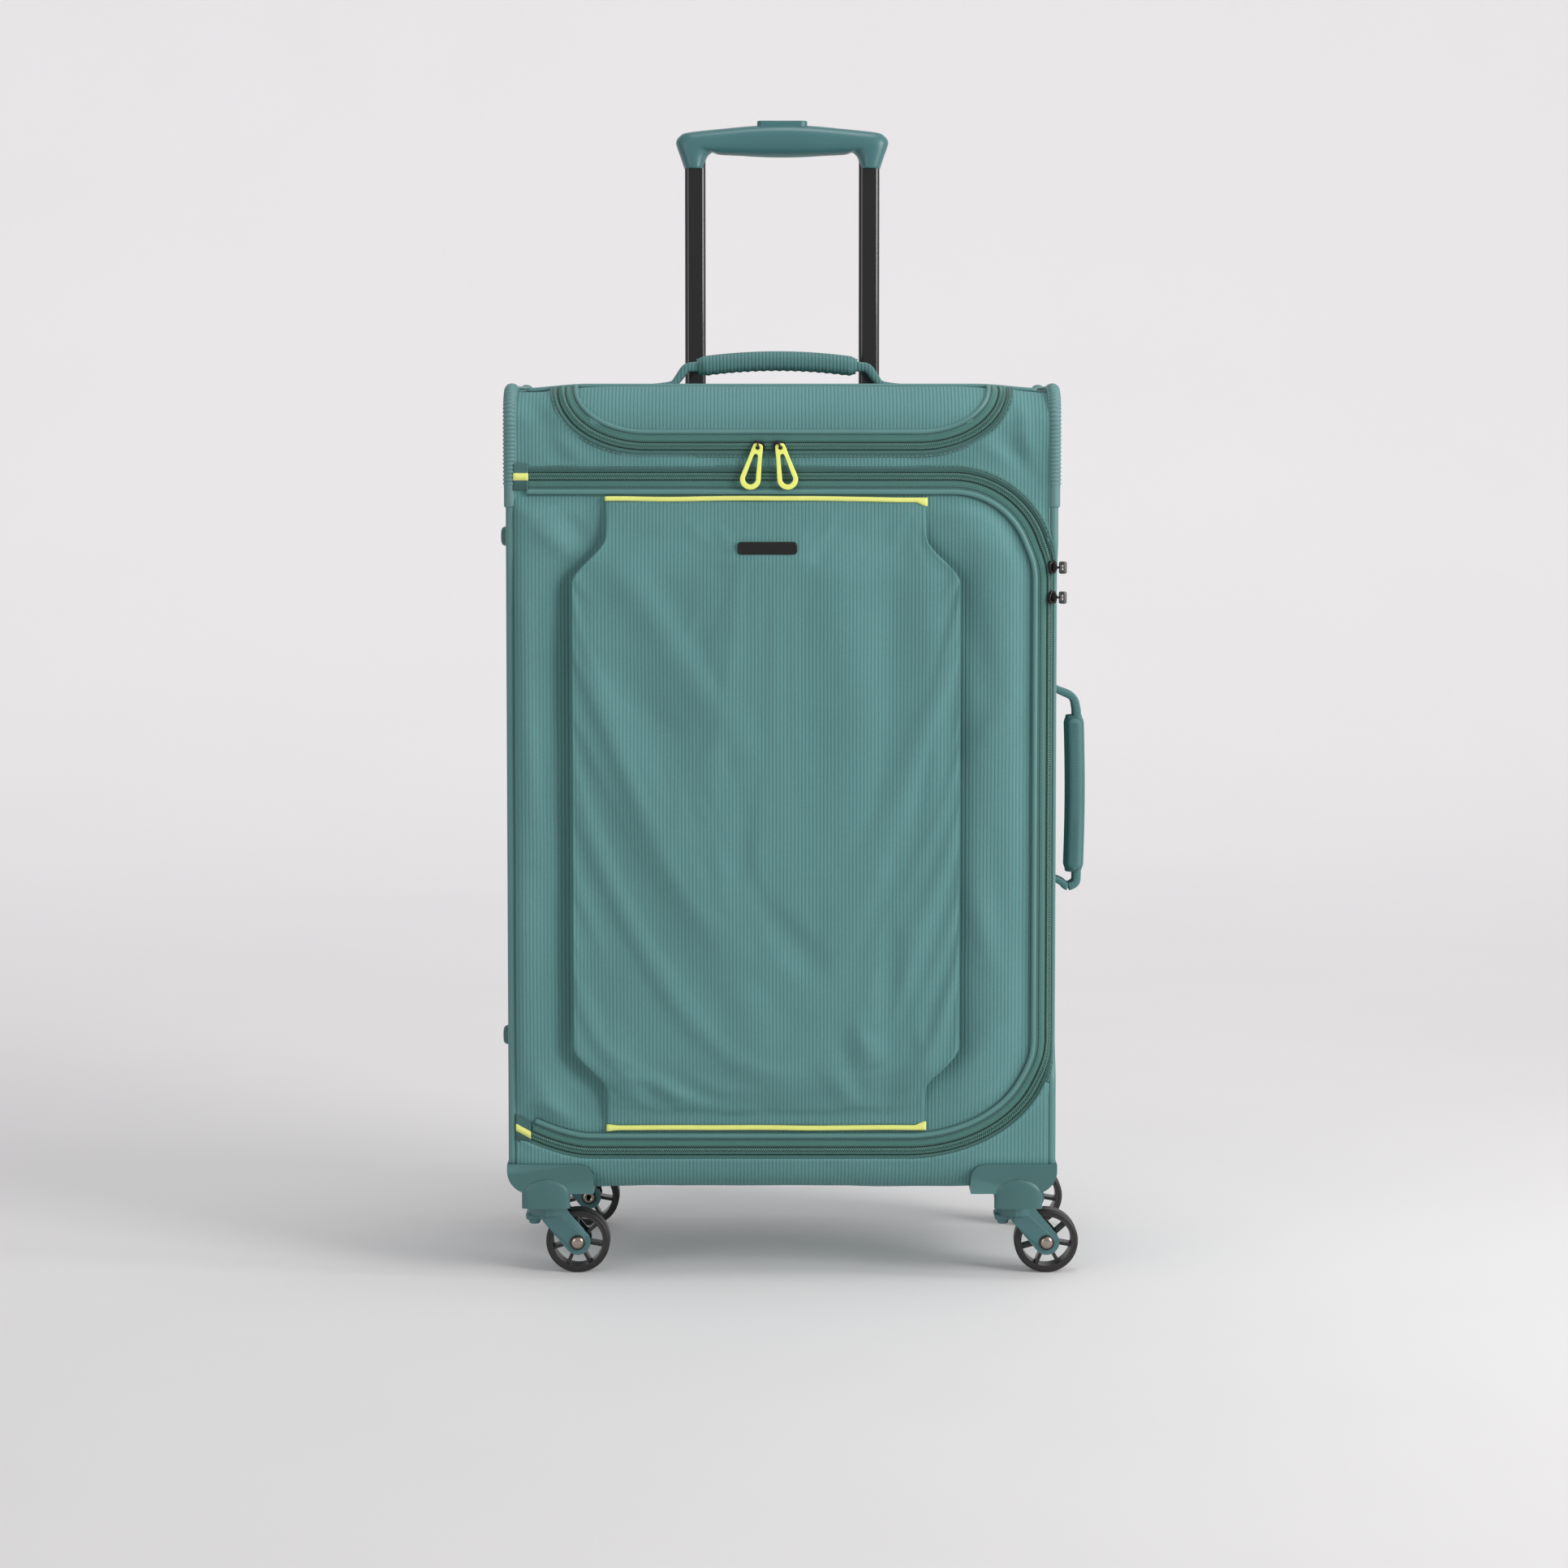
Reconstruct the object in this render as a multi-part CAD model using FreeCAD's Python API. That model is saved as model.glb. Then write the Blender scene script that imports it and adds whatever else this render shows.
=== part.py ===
import FreeCAD, Part
import math
import os

V = FreeCAD.Vector
X, Y, Z = V(1, 0, 0), V(0, 1, 0), V(0, 0, 1)
os.makedirs("parts", exist_ok=True)

# Softside upright suitcase on four swivel casters. Millimetres, +Z up, -Y to the front.
# The origin is on the floor, midway between the four swivel axes.

# --- case -------------------------------------------------------------------------------
CASE_WIDTH = 418.0            # over the two side panels
CASE_DEPTH = 256.0            # front face to back face
CASE_HEIGHT = 621.0
EDGE_RADIUS = 28.0            # round of the four long edges, seen from the side
PANEL = 4.0                   # padded fabric panel
PIPING_R = 3.7
PIPING_INSET = 2.0            # piping's centre line, in from the case's outline
SEAM = 0.2                    # gap between pieces that are sewn together
CLOTH_GAP = 0.5               # gap along an edge that a zip opens

# --- main zip and lid ---------------------------------------------------------------------
ZIP_TOP_DROP = 68.0           # from the top of the case down to the coil's upper run
ZIP_OVER_ROUND = 2.0          # round lower edge of the case up to the coil's lower run
ZIP_SIDE_INSET = 6.0          # from the right side's outer face in to the coil
LID_TOP_CORNER = 72.0
LID_FOOT_CORNER_X = 106.0
LID_FOOT_CORNER_Z = 80.0
LID_EDGE_INSET = 6.5          # lid panel's left edge, in from the left side's outer face
TAPE_WIDTH = 9.0
TAPE_THICK = 1.4
LID_PIPING_WIDTH = 4.4
LID_PIPING_PROUD = 4.0
LID_PIPING_START = 9.0          # from the lid's left edge, clear of the case when it is open
LID_LINING_INSET = 14.0
LINING = 1.0

# --- top flap -------------------------------------------------------------------------------
FLAP_HEIGHT = 45.0            # top of the case down to the flap's coil
FLAP_HALF_TOP = 170.0
FLAP_HALF_FLAT = 104.0        # half of the straight run along the flap's foot
HINGE_PIPING_R = 1.8
FLAP_POCKET_DEPTH = 84.0
FLAP_POCKET_FLOOR = 56.0      # floor of the flap's compartment, below the top of the case
FLAP_POCKET_HALF = 184.0

# --- front pocket ---------------------------------------------------------------------------
POCKET_SHIFT = -12.3          # the pocket's middle, from the case's middle
POCKET_HALF = 148.8
POCKET_HALF_END = 123.0
POCKET_UNDER_ZIP = 19.0       # coil's upper run down to the pocket's upper end
POCKET_OVER_ZIP = 20.0        # coil's lower run up to the pocket's lower end
POCKET_NECK = 28.0            # straight part at each end, before the shoulder
POCKET_SHOULDER = 36.0
POCKET_PROUD = 14.0
POCKET_END_PROUD = 3.0
POCKET_WALL = 2.5
POCKET_TAPER = 45.0           # over which the pocket rises to its full depth
TRIM_HEIGHT = 5.0
TRIM_THICK = 1.2
BADGE_SIZE = V(46.0, 2.0, 10.0)
BADGE_DROP = 128.0            # top of the case down to the badge's lower edge

# --- handles --------------------------------------------------------------------------------
TOP_HANDLE_X = -4.0
TOP_HANDLE_Y = -10.0
TOP_HANDLE_HALF = 90.0
TOP_GRIP_HALF = 63.0
TOP_GRIP_THICK = 15.5
TOP_HANDLE_RISE = 30.0
SIDE_HANDLE_DROP = 315.0      # top of the case down to midway between the handle's roots
SIDE_HANDLE_HALF = 84.0
SIDE_GRIP_BELOW = 71.5        # the grip hangs lower than midway
SIDE_GRIP_ABOVE = 54.0
SIDE_GRIP_THICK = 16.0
SIDE_HANDLE_REACH = 34.0
GRIP_WIDTH = 26.0
ANCHOR_THICK = 1.6
ANCHOR_LENGTH = 28.0
ANCHOR_WIDTH = 32.0
KNUCKLE_R = 2.5               # rounded root of a carry handle, on its swing axis
RUN_GAP = 0.4                 # air between a swinging soft piece and what it passes

# --- trolley handle -------------------------------------------------------------------------
TROLLEY_Y = 98.0
ROD_X = 71.0
ROD_WIDTH = 17.0
ROD_DEPTH = 13.0
TUBE_WALL = 1.6
SLIDE_GAP = 0.3
ROD_TRAVEL = 210.0            # inner rods, stowed to locked out
GRIP_RISE = 215.4             # top of the case up to the top of the locked-out grip
GRIP_HALF = 87.0
GRIP_DEPTH = 26.0
GRIP_BAR = 24.7
GRIP_ARM = 36.1               # top of the grip down to the ends of its arms
ARM_OUTER_INSET = 6.5
ARM_INNER_HALF = 64.0
ARCH_HALF = 58.0
GRIP_CROWN = 6.5              # top face's fall from its middle to its ends
BUTTON_HALF = 20.5
BUTTON_DEPTH = 14.0
BUTTON_PROUD = 2.5
BUTTON_SINK = 5.0
LINK_HALF_DEPTH = 3.0
LINK_HEIGHT = 3.0
LINK_DROP = 12.5              # top of the grip down to the link bar's top
PUSH_ROD_R = 2.5
BEZEL_WALL = 2.0
WELL_CORNER_R = 6.0
BEZEL_GAP = 1.5
BEZEL_LIP = 4.0
BEZEL_LIP_THICK = 1.8
WELL_CLEAR = 4.0              # under the stowed grip's arms
BRACKET_HEIGHT = 6.0

# --- casters and housings -------------------------------------------------------------------
SWIVEL_DEPTH_IN = 33.0        # swivel axis, in from the case's front or back
WHEEL_R = 25.0
WHEEL_WIDTH = 18.0
TYRE_THICK = 3.8
RIM_THICK = 1.7
HUB_R = 6.0
SPOKES = 7
SPOKE_WIDTH = 2.6
TRAIL = 23.5
AXLE_R = 2.5
AXLE_HEAD_R = 5.3
AXLE_HEAD = 1.8
RUNNING = 0.05                # radial clearance of a turning fit
SIDE_GAP = 1.0                # wheel to fork arm
ARM = 3.0
ARM_HALF = 10.0
CROWN_R = 16.5
CROWN_OVER_WHEEL = 3.0        # fork crown's top, over the top of the wheel
CROWN_THICK = 7.0
WHEEL_CLEAR = 2.0
PIN_R = 4.0
PIN_HEAD_R = 6.5
PIN_HEAD = 2.5
BOSS_FOOT_R = 16.7
BOSS_TOP_R = 18.5
BOSS_GAP = 2.0                # fork crown to the housing's boss
CASE_OVER_BOSS = 16.0         # foot of the boss up to the case's underside
HOUSING_INNER = 37.0          # swivel axis to the housing's inner edge
HOUSING_OUTER = 30.0
SWIVEL_IN = 25.5              # swivel axis, in from the case's side
HOUSING_PROUD = 3.0
HOUSING_UNDER = 3.5
HOUSING_TOP_RISE = 19.7       # underside of the case up to the housing's upper edge
HOUSING_LENGTH = 74.0
HOUSING_TOE_R = 18.0
HOUSING_SHOULDER_R = 12.0
SCREW_R = 1.8
SCREW_HEAD_R = 3.5

# --- small pieces ---------------------------------------------------------------------------
FOOT_R = 8.0
FOOT_LENGTH = 9.0
FOOT_HIGH_DROP = 115.0        # top of the case down to the upper pair of side feet
FOOT_LOW_RISE = 116.0
GUARD_R = 5.5
GUARD_BOTTOM_DROP = 92.0
GUARD_BACK = 34.0             # how far a guard runs along the top, past the round corner
TAG_SIZE = V(2.5, 46.0, 16.0)
TAG_DROP = 37.0
TAG_Y = -52.0
STRAP_WIDTH = 25.0
STRAP_THICK = 1.5
STRAP_Z = 350.0
BUCKLE_HALF = 22.0
BUCKLE_THICK = 7.0
PULL_LENGTH = 36.5
PULL_TOP_WIDTH = 9.0
PULL_FOOT_WIDTH = 16.0
PULL_THICK = 2.4
PULL_LEAN = 13.0              # degrees, outwards from the meeting point
TOP_SLIDER = V(10.0, 3.6, 11.0)
SLIDER_RELIEF = 0.5           # the sliders are cut back behind their swinging pulls
TOP_SLIDER_X = 8.0            # sliders' middles, each side of the flap's meeting point
TOP_MEET_X = -10.0
MAIN_SLIDER = V(8.0, 4.0, 8.5)
MAIN_UPPER_DROP = 138.0       # top of the case down to the upper slider
MAIN_LOWER_DROP = 161.0
MAIN_PULL_REACH = 9.0
MAIN_PULL_WIDTH = 7.0
ZIP_GUSSET_LOW = 95.0         # underside of the case up to the start of the side zip run
ZIP_GUSSET_HIGH = 128.0       # top of the case down to the end of the side zip run
GUSSET_CHAMFER = 4.0

# --- worked out from the sizes above --------------------------------------------------------
CROWN_TOP = 2 * WHEEL_R + CROWN_OVER_WHEEL
BOSS_FOOT = CROWN_TOP + BOSS_GAP
CASE_BOTTOM = BOSS_FOOT + CASE_OVER_BOSS
ZIP_BOTTOM_RISE = EDGE_RADIUS + ZIP_OVER_ROUND
POCKET_TOP_DROP = ZIP_TOP_DROP + POCKET_UNDER_ZIP
POCKET_BOTTOM_RISE = ZIP_BOTTOM_RISE + POCKET_OVER_ZIP
TYRE_INNER_R = WHEEL_R - TYRE_THICK
RIM_INNER_R = TYRE_INNER_R - RIM_THICK
HALF = CASE_WIDTH / 2
SIDE_IN = HALF - PANEL                       # inner face of a side panel
FRONT = -CASE_DEPTH / 2
BACK = CASE_DEPTH / 2
TOP = CASE_BOTTOM + CASE_HEIGHT
SWIVEL_X = HALF - SWIVEL_IN
SWIVEL_Y = BACK - SWIVEL_DEPTH_IN
SIDE_HANDLE_Z = TOP - SIDE_HANDLE_DROP
GRIP_TOP = TOP + GRIP_RISE
HINGE_Y = FRONT + EDGE_RADIUS                # where the front's round meets the flat top
TUBE_MID = V(ROD_WIDTH + 2 * (SLIDE_GAP + TUBE_WALL), ROD_DEPTH + 2 * (SLIDE_GAP + TUBE_WALL), 0)
TUBE_OUT = V(TUBE_MID.x + 2 * (SLIDE_GAP + TUBE_WALL), TUBE_MID.y + 2 * (SLIDE_GAP + TUBE_WALL), 0)
GRIP_ARM_Z = GRIP_TOP - GRIP_ARM
WELL_HALF_X = GRIP_HALF + BEZEL_GAP + BEZEL_WALL
WELL_HALF_Y = GRIP_DEPTH / 2 + BEZEL_GAP + BEZEL_WALL
WELL_FLOOR = GRIP_ARM_Z - ROD_TRAVEL - WELL_CLEAR
LINING_BACK = TROLLEY_Y - max(WELL_HALF_Y, TUBE_OUT.y / 2) - 1.0
ROUND_IN = EDGE_RADIUS - PANEL               # inside radius of the four long edges
BRACKET_OVER = max(TROLLEY_Y + TUBE_OUT.y / 2 - (BACK - EDGE_RADIUS), 0.0)
BRACKET_FOOT = (CASE_BOTTOM + EDGE_RADIUS + SEAM
                - math.sqrt(ROUND_IN ** 2 - BRACKET_OVER ** 2))
TUBE_FOOT = BRACKET_FOOT + BRACKET_HEIGHT
KAPPA = 0.5523                # handle length of a quarter-ellipse curve


# --- drawing helpers ------------------------------------------------------------------------
def box(x0, x1, y0, y1, z0, z1):
    """Block between two corners."""
    return Part.makeBox(x1 - x0, y1 - y0, z1 - z0, V(x0, y0, z0))


def round_edges(solid, axis, radius):
    """Round every straight edge of a block that runs along one axis."""
    edges = []
    for edge in solid.Edges:
        run = edge.Vertexes[-1].Point - edge.Vertexes[0].Point
        if run.Length > 0 and abs(run.normalize().dot(axis)) > 0.999:
            edges.append(edge)
    return solid.makeFillet(radius, edges)


def rounded_box(x0, x1, y0, y1, z0, z1, axis, radius):
    """Block whose four edges along one axis are rounded."""
    return round_edges(box(x0, x1, y0, y1, z0, z1), axis, radius)


def outline(points):
    """Closed line through points; a triple of points is a quarter-ellipse or S-shaped curve."""
    edges = []
    last = None
    for point in points:
        if isinstance(point, tuple):
            curve = Part.BezierCurve()
            curve.setPoles([last, point[0], point[1], point[2]])
            edges.append(curve.toShape())
            last = point[2]
        else:
            if last is not None:
                edges.append(Part.makeLine(last, point))
            last = point
    if (last - points[0]).Length > 1e-6:
        edges.append(Part.makeLine(last, points[0]))
    return Part.Face(Part.Wire(edges))


def corner(start, square, end):
    """Control points of a quarter ellipse from start to end inside a square corner."""
    return (start + (square - start) * KAPPA, end + (square - end) * KAPPA, end)


def shoulder(start, end):
    """Control points of an S-shaped curve that leaves and arrives upright."""
    middle = (start.z + end.z) / 2
    return (V(start.x, 0, middle), V(end.x, 0, middle), end)


def prism_y(points, y0, y1):
    """Outline drawn in XZ, carried from y0 to y1."""
    face = outline(points)
    face.translate(V(0, y0, 0))
    return face.extrude(V(0, y1 - y0, 0))


def prism_x(points, x0, x1):
    """Outline drawn in YZ, carried from x0 to x1."""
    face = outline(points)
    face.translate(V(x0, 0, 0))
    return face.extrude(V(x1 - x0, 0, 0))


def rod(start, direction, length, radius):
    """Round bar."""
    return Part.makeCylinder(radius, length, start, direction)


def case_block(grow, x0, x1):
    """The case's whole outer form, grown outwards by a distance."""
    return rounded_box(x0, x1, FRONT - grow, BACK + grow, CASE_BOTTOM - grow, TOP + grow,
                       X, EDGE_RADIUS + grow)


def case_skin(outer, inner, x0, x1):
    """Layer that wraps round the case, from one growth of its form to a smaller one."""
    return case_block(outer, x0, x1).cut(case_block(inner, x0 - 1, x1 + 1))


def mirror_x(shape):
    """The same piece on the other side."""
    return shape.mirror(V(0, 0, 0), X)


def save(name, *solids):
    """Write one node."""
    shape = solids[0]
    if len(solids) > 1:
        shape = Part.makeCompound(list(solids))
    if not shape.isValid():
        raise ValueError(name + " is not valid")
    shape.exportStep("parts/" + name + ".step")


def one(shape):
    """The single solid of a boolean result."""
    if len(shape.Solids) != 1:
        raise ValueError("expected one solid, found %d" % len(shape.Solids))
    return shape.Solids[0]


# --- outlines that several pieces share -----------------------------------------------------
def lid_outline(inset, left):
    """Main zip's line, moved inwards (or outwards when negative), closed along the hinge side."""
    top = TOP - ZIP_TOP_DROP - inset
    foot = CASE_BOTTOM + ZIP_BOTTOM_RISE + inset
    right = HALF - ZIP_SIDE_INSET - inset
    high = LID_TOP_CORNER - inset
    low_x = LID_FOOT_CORNER_X - inset
    low_z = LID_FOOT_CORNER_Z - inset
    a = V(right - high, 0, top)
    b = V(right, 0, top - high)
    c = V(right, 0, foot + low_z)
    d = V(right - low_x, 0, foot)
    return [V(left, 0, top), a, corner(a, V(right, 0, top), b), c,
            corner(c, V(right, 0, foot), d), V(left, 0, foot)]


def flap_outline(inset):
    """Flap zip's line, moved inwards, open over the top edge of the case."""
    foot = TOP - FLAP_HEIGHT + inset
    half = FLAP_HALF_TOP - inset
    a = V(FLAP_HALF_FLAT, 0, foot)
    b = V(half, 0, TOP)
    c = V(-half, 0, TOP)
    d = V(-FLAP_HALF_FLAT, 0, foot)
    over = TOP + EDGE_RADIUS
    return [a, corner(a, V(half, 0, foot), b), V(half, 0, over), V(-half, 0, over), c,
            corner(c, V(-half, 0, foot), d)]


def pocket_outline(inset):
    """Front pocket: wide in the middle, with an S-shaped shoulder to each narrower end."""
    wide = POCKET_HALF - inset
    narrow = POCKET_HALF_END - inset
    high = TOP - POCKET_TOP_DROP - inset
    low = CASE_BOTTOM + POCKET_BOTTOM_RISE + inset
    mid = POCKET_SHIFT
    neck_high = high - POCKET_NECK
    neck_low = low + POCKET_NECK
    body_high = neck_high - POCKET_SHOULDER
    body_low = neck_low + POCKET_SHOULDER
    right_high = V(mid + wide, 0, body_high)
    left_low = V(mid - wide, 0, body_low)
    right_neck = V(mid + narrow, 0, neck_high)
    left_neck = V(mid - narrow, 0, neck_low)
    right_low = V(mid + wide, 0, body_low)
    right_foot = V(mid + narrow, 0, neck_low)
    left_high = V(mid - wide, 0, body_high)
    left_top = V(mid - narrow, 0, neck_high)
    return [V(mid - narrow, 0, high), V(mid + narrow, 0, high), right_neck,
            shoulder(right_neck, right_high), right_low, shoulder(right_low, right_foot),
            V(mid + narrow, 0, low), V(mid - narrow, 0, low), left_neck,
            shoulder(left_neck, left_low), left_high, shoulder(left_high, left_top)]


def well_cut():
    """Space that the trolley bezel takes out of the top panel."""
    return box(-WELL_HALF_X - SEAM, WELL_HALF_X + SEAM, TROLLEY_Y - WELL_HALF_Y - SEAM,
               TROLLEY_Y + WELL_HALF_Y + SEAM, WELL_FLOOR - 10, TOP + 10)


# --- case -----------------------------------------------------------------------------------
def side_panel():
    """Right side panel, inside its loop of piping."""
    inset = PIPING_INSET + PIPING_R + SEAM
    return rounded_box(SIDE_IN, HALF, FRONT + inset, BACK - inset, CASE_BOTTOM + inset,
                       TOP - inset, X, EDGE_RADIUS - inset)


def build_case_panels():
    """Side, top, bottom, back and front panels."""
    panel = side_panel()
    save("right_side_panel", panel)
    save("left_side_panel", mirror_x(panel))
    skin = case_skin(0, -PANEL, -SIDE_IN, SIDE_IN)
    far = CASE_WIDTH
    high = TOP - EDGE_RADIUS
    low = CASE_BOTTOM + EDGE_RADIUS
    hinge_clear = HINGE_PIPING_R + CLOTH_GAP
    top = skin.common(box(-far, far, HINGE_Y + hinge_clear, BACK + 1, high, TOP + 1))
    save("top_panel", one(top.cut(well_cut())))
    save("back_panel", one(skin.common(box(-far, far, 0, BACK + 1, low, high))))
    save("bottom_panel", one(skin.common(box(-far, far, FRONT - 1, BACK + 1, 0, low))))
    front = skin.common(box(-far, far, FRONT - 1, HINGE_Y - hinge_clear, low, TOP + 1))
    lid = prism_y(lid_outline(-CLOTH_GAP, -HALF + LID_EDGE_INSET - CLOTH_GAP), FRONT - 5, 0)
    flap = prism_y(flap_outline(-CLOTH_GAP), FRONT - 5, 0)
    save("front_frame", one(front.cut(lid).cut(flap)))


def piping_path(x, y_from, z_from, back_y, whole):
    """Line of the side piping: up the front, over the top and on round the case."""
    y0 = FRONT + PIPING_INSET
    y1 = BACK - PIPING_INSET
    z0 = CASE_BOTTOM + PIPING_INSET
    z1 = TOP - PIPING_INSET
    r = EDGE_RADIUS - PIPING_INSET
    s = r * math.sqrt(0.5)

    def arc(cy, cz, a, b, c):
        return Part.Arc(V(x, cy + a[0], cz + a[1]), V(x, cy + b[0], cz + b[1]),
                        V(x, cy + c[0], cz + c[1])).toShape()

    edges = [Part.makeLine(V(x, y_from, z_from), V(x, y0, z1 - r)),
             arc(y0 + r, z1 - r, (-r, 0), (-s, s), (0, r))]
    if not whole:
        edges.append(Part.makeLine(V(x, y0 + r, z1), V(x, back_y, z1)))
        return Part.Wire(edges)
    edges.append(Part.makeLine(V(x, y0 + r, z1), V(x, y1 - r, z1)))
    edges.append(arc(y1 - r, z1 - r, (0, r), (s, s), (r, 0)))
    edges.append(Part.makeLine(V(x, y1, z1 - r), V(x, y1, z0 + r)))
    edges.append(arc(y1 - r, z0 + r, (r, 0), (s, -s), (0, -r)))
    edges.append(Part.makeLine(V(x, y1 - r, z0), V(x, y0 + r, z0)))
    edges.append(arc(y0 + r, z0 + r, (0, -r), (-s, -s), (-r, 0)))
    return edges


def tube_along(wire, radius):
    """Round bar along a line that starts upright at the front."""
    start = wire.OrderedVertexes[0].Point
    circle = Part.Wire([Part.makeCircle(radius, start, Z)])
    return wire.makePipeShell([circle], True, True)


def piping_x():
    """Middle of the side piping, just outside the wrapped panels."""
    return SIDE_IN + SEAM + PIPING_R


def build_piping():
    """Cord piping round both side panels, and along the flap's hinge edge."""
    y0 = FRONT + PIPING_INSET
    low = CASE_BOTTOM + ZIP_GUSSET_LOW
    high = TOP - ZIP_GUSSET_HIGH
    right = piping_path(piping_x(), y0, high + SEAM, 0, True)
    right.append(Part.makeLine(V(piping_x(), y0, CASE_BOTTOM + EDGE_RADIUS), V(piping_x(), y0, low)))
    middle = (low + high) / 2
    left = piping_path(piping_x(), y0, middle, 0, True)
    left.append(Part.makeLine(V(piping_x(), y0, CASE_BOTTOM + EDGE_RADIUS),
                              V(piping_x(), y0, middle)))
    hinge_half = SIDE_IN - 8.0
    hinge = rod(V(-hinge_half, HINGE_Y, TOP), X, 2 * hinge_half, HINGE_PIPING_R)
    save("body_piping", tube_along(Part.Wire(right), PIPING_R),
         mirror_x(tube_along(Part.Wire(left), PIPING_R)), hinge)


def corner_guard(front):
    """Ribbed sleeve over the piping at one top corner."""
    z_low = TOP - GUARD_BOTTOM_DROP
    wire = piping_path(piping_x(), FRONT + PIPING_INSET, z_low, HINGE_Y + GUARD_BACK, False)
    sleeve = tube_along(wire, GUARD_R).cut(tube_along(wire, PIPING_R + SEAM / 2))
    sleeve = sleeve.cut(case_block(SEAM, -SIDE_IN - SEAM, SIDE_IN + SEAM))
    sleeve = sleeve.cut(case_block(-PIPING_INSET, -HALF - SEAM, HALF + SEAM))
    if not front:
        sleeve = sleeve.mirror(V(0, 0, 0), Y)
    return max(sleeve.Solids, key=lambda solid: solid.Volume)


def build_guards():
    """Four guards, front and back, left and right."""
    guards = []
    for front in (True, False):
        guard = corner_guard(front)
        guards += [guard, mirror_x(guard)]
    save("corner_guards", *guards)


def build_feet():
    """Four studs that the case stands on when it lies on its left side."""
    feet = []
    for z in (TOP - FOOT_HIGH_DROP, CASE_BOTTOM + FOOT_LOW_RISE):
        for y in (-SWIVEL_Y, SWIVEL_Y):
            foot = rod(V(-HALF, y, z), -X, FOOT_LENGTH, FOOT_R)
            rims = [edge for edge in foot.Edges if edge.BoundBox.XMax < -HALF - 1]
            feet.append(foot.makeFillet(2.5, rims))
    save("side_feet", *feet)


# --- main zip and lid -----------------------------------------------------------------------
def zip_gusset():
    """Corner strip of the zip's upright run, where the right piping makes room for it."""
    low = CASE_BOTTOM + ZIP_GUSSET_LOW + SEAM
    high = TOP - ZIP_GUSSET_HIGH - SEAM
    strip = box(SIDE_IN + SEAM, HALF + 0.5, FRONT, FRONT + PIPING_INSET + PIPING_R, low, high)
    edge = [e for e in strip.Edges if e.BoundBox.XMin > HALF and e.BoundBox.YMax < FRONT + 0.1
            and e.BoundBox.ZLength > 1]
    return strip.makeChamfer(GUSSET_CHAMFER, edge)


def build_main_zip():
    """Both halves of the main zip, the corner strip, and the sewn tabs at its two ends."""
    left = -HALF + 13.0
    layer = (FRONT - TAPE_THICK, FRONT)
    wide = prism_y(lid_outline(-TAPE_WIDTH, left), *layer)
    hole = prism_y(lid_outline(-CLOTH_GAP / 2, left - 5), FRONT - 5, FRONT + 5)
    half = wide.cut(hole).common(case_skin(TAPE_THICK, 0, -HALF, SIDE_IN - 2 * RUN_GAP))
    save("main_zip_body_half", *(half.Solids + [zip_gusset()]))
    band = prism_y(lid_outline(CLOTH_GAP / 2, left), *layer)
    inner = prism_y(lid_outline(TAPE_WIDTH, left - 5), FRONT - 5, FRONT + 5)
    save("lid_zip_half", *band.cut(inner).Solids)
    tabs = []
    upper = TOP - ZIP_TOP_DROP
    lower = CASE_BOTTOM + ZIP_BOTTOM_RISE
    for low, high in ((upper + CLOTH_GAP, upper + TAPE_WIDTH),
                      (lower - TAPE_WIDTH, lower - CLOTH_GAP)):
        tabs.append(box(GUARD_R + SEAM - piping_x(), left - SEAM, FRONT - TAPE_THICK - 1.2,
                        FRONT - TAPE_THICK, low, high))
    save("zip_end_tabs", *tabs)


def build_lid():
    """Lid panel, its lining and the piping just inside its zip."""
    left = -HALF + LID_EDGE_INSET
    save("lid_panel", prism_y(lid_outline(CLOTH_GAP / 2, left), FRONT, FRONT + PANEL))
    start = left + LID_PIPING_START
    outer = lid_outline(TAPE_WIDTH + SEAM, start)
    inner = lid_outline(TAPE_WIDTH + SEAM + LID_PIPING_WIDTH, start - 5)
    piping = prism_y(outer, FRONT - LID_PIPING_PROUD, FRONT)
    piping = piping.cut(prism_y(inner, FRONT - 9, FRONT + 9))
    save("lid_piping", *piping.Solids)
    lining = prism_y(lid_outline(LID_LINING_INSET, left + LID_LINING_INSET),
                     FRONT + PANEL, FRONT + PANEL + LINING)
    save("lid_lining", lining)


# --- front pocket ---------------------------------------------------------------------------
def pocket_depth(inset):
    """Pocket seen from the side: full depth in the middle, tapering to each end."""
    high = TOP - POCKET_TOP_DROP
    low = CASE_BOTTOM + POCKET_BOTTOM_RISE
    deep = FRONT - POCKET_PROUD + inset
    shallow = FRONT - POCKET_END_PROUD
    return [V(0, FRONT, low), V(0, shallow, low), V(0, deep, low + POCKET_TAPER),
            V(0, deep, high - POCKET_TAPER), V(0, shallow, high), V(0, FRONT, high)]


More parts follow.
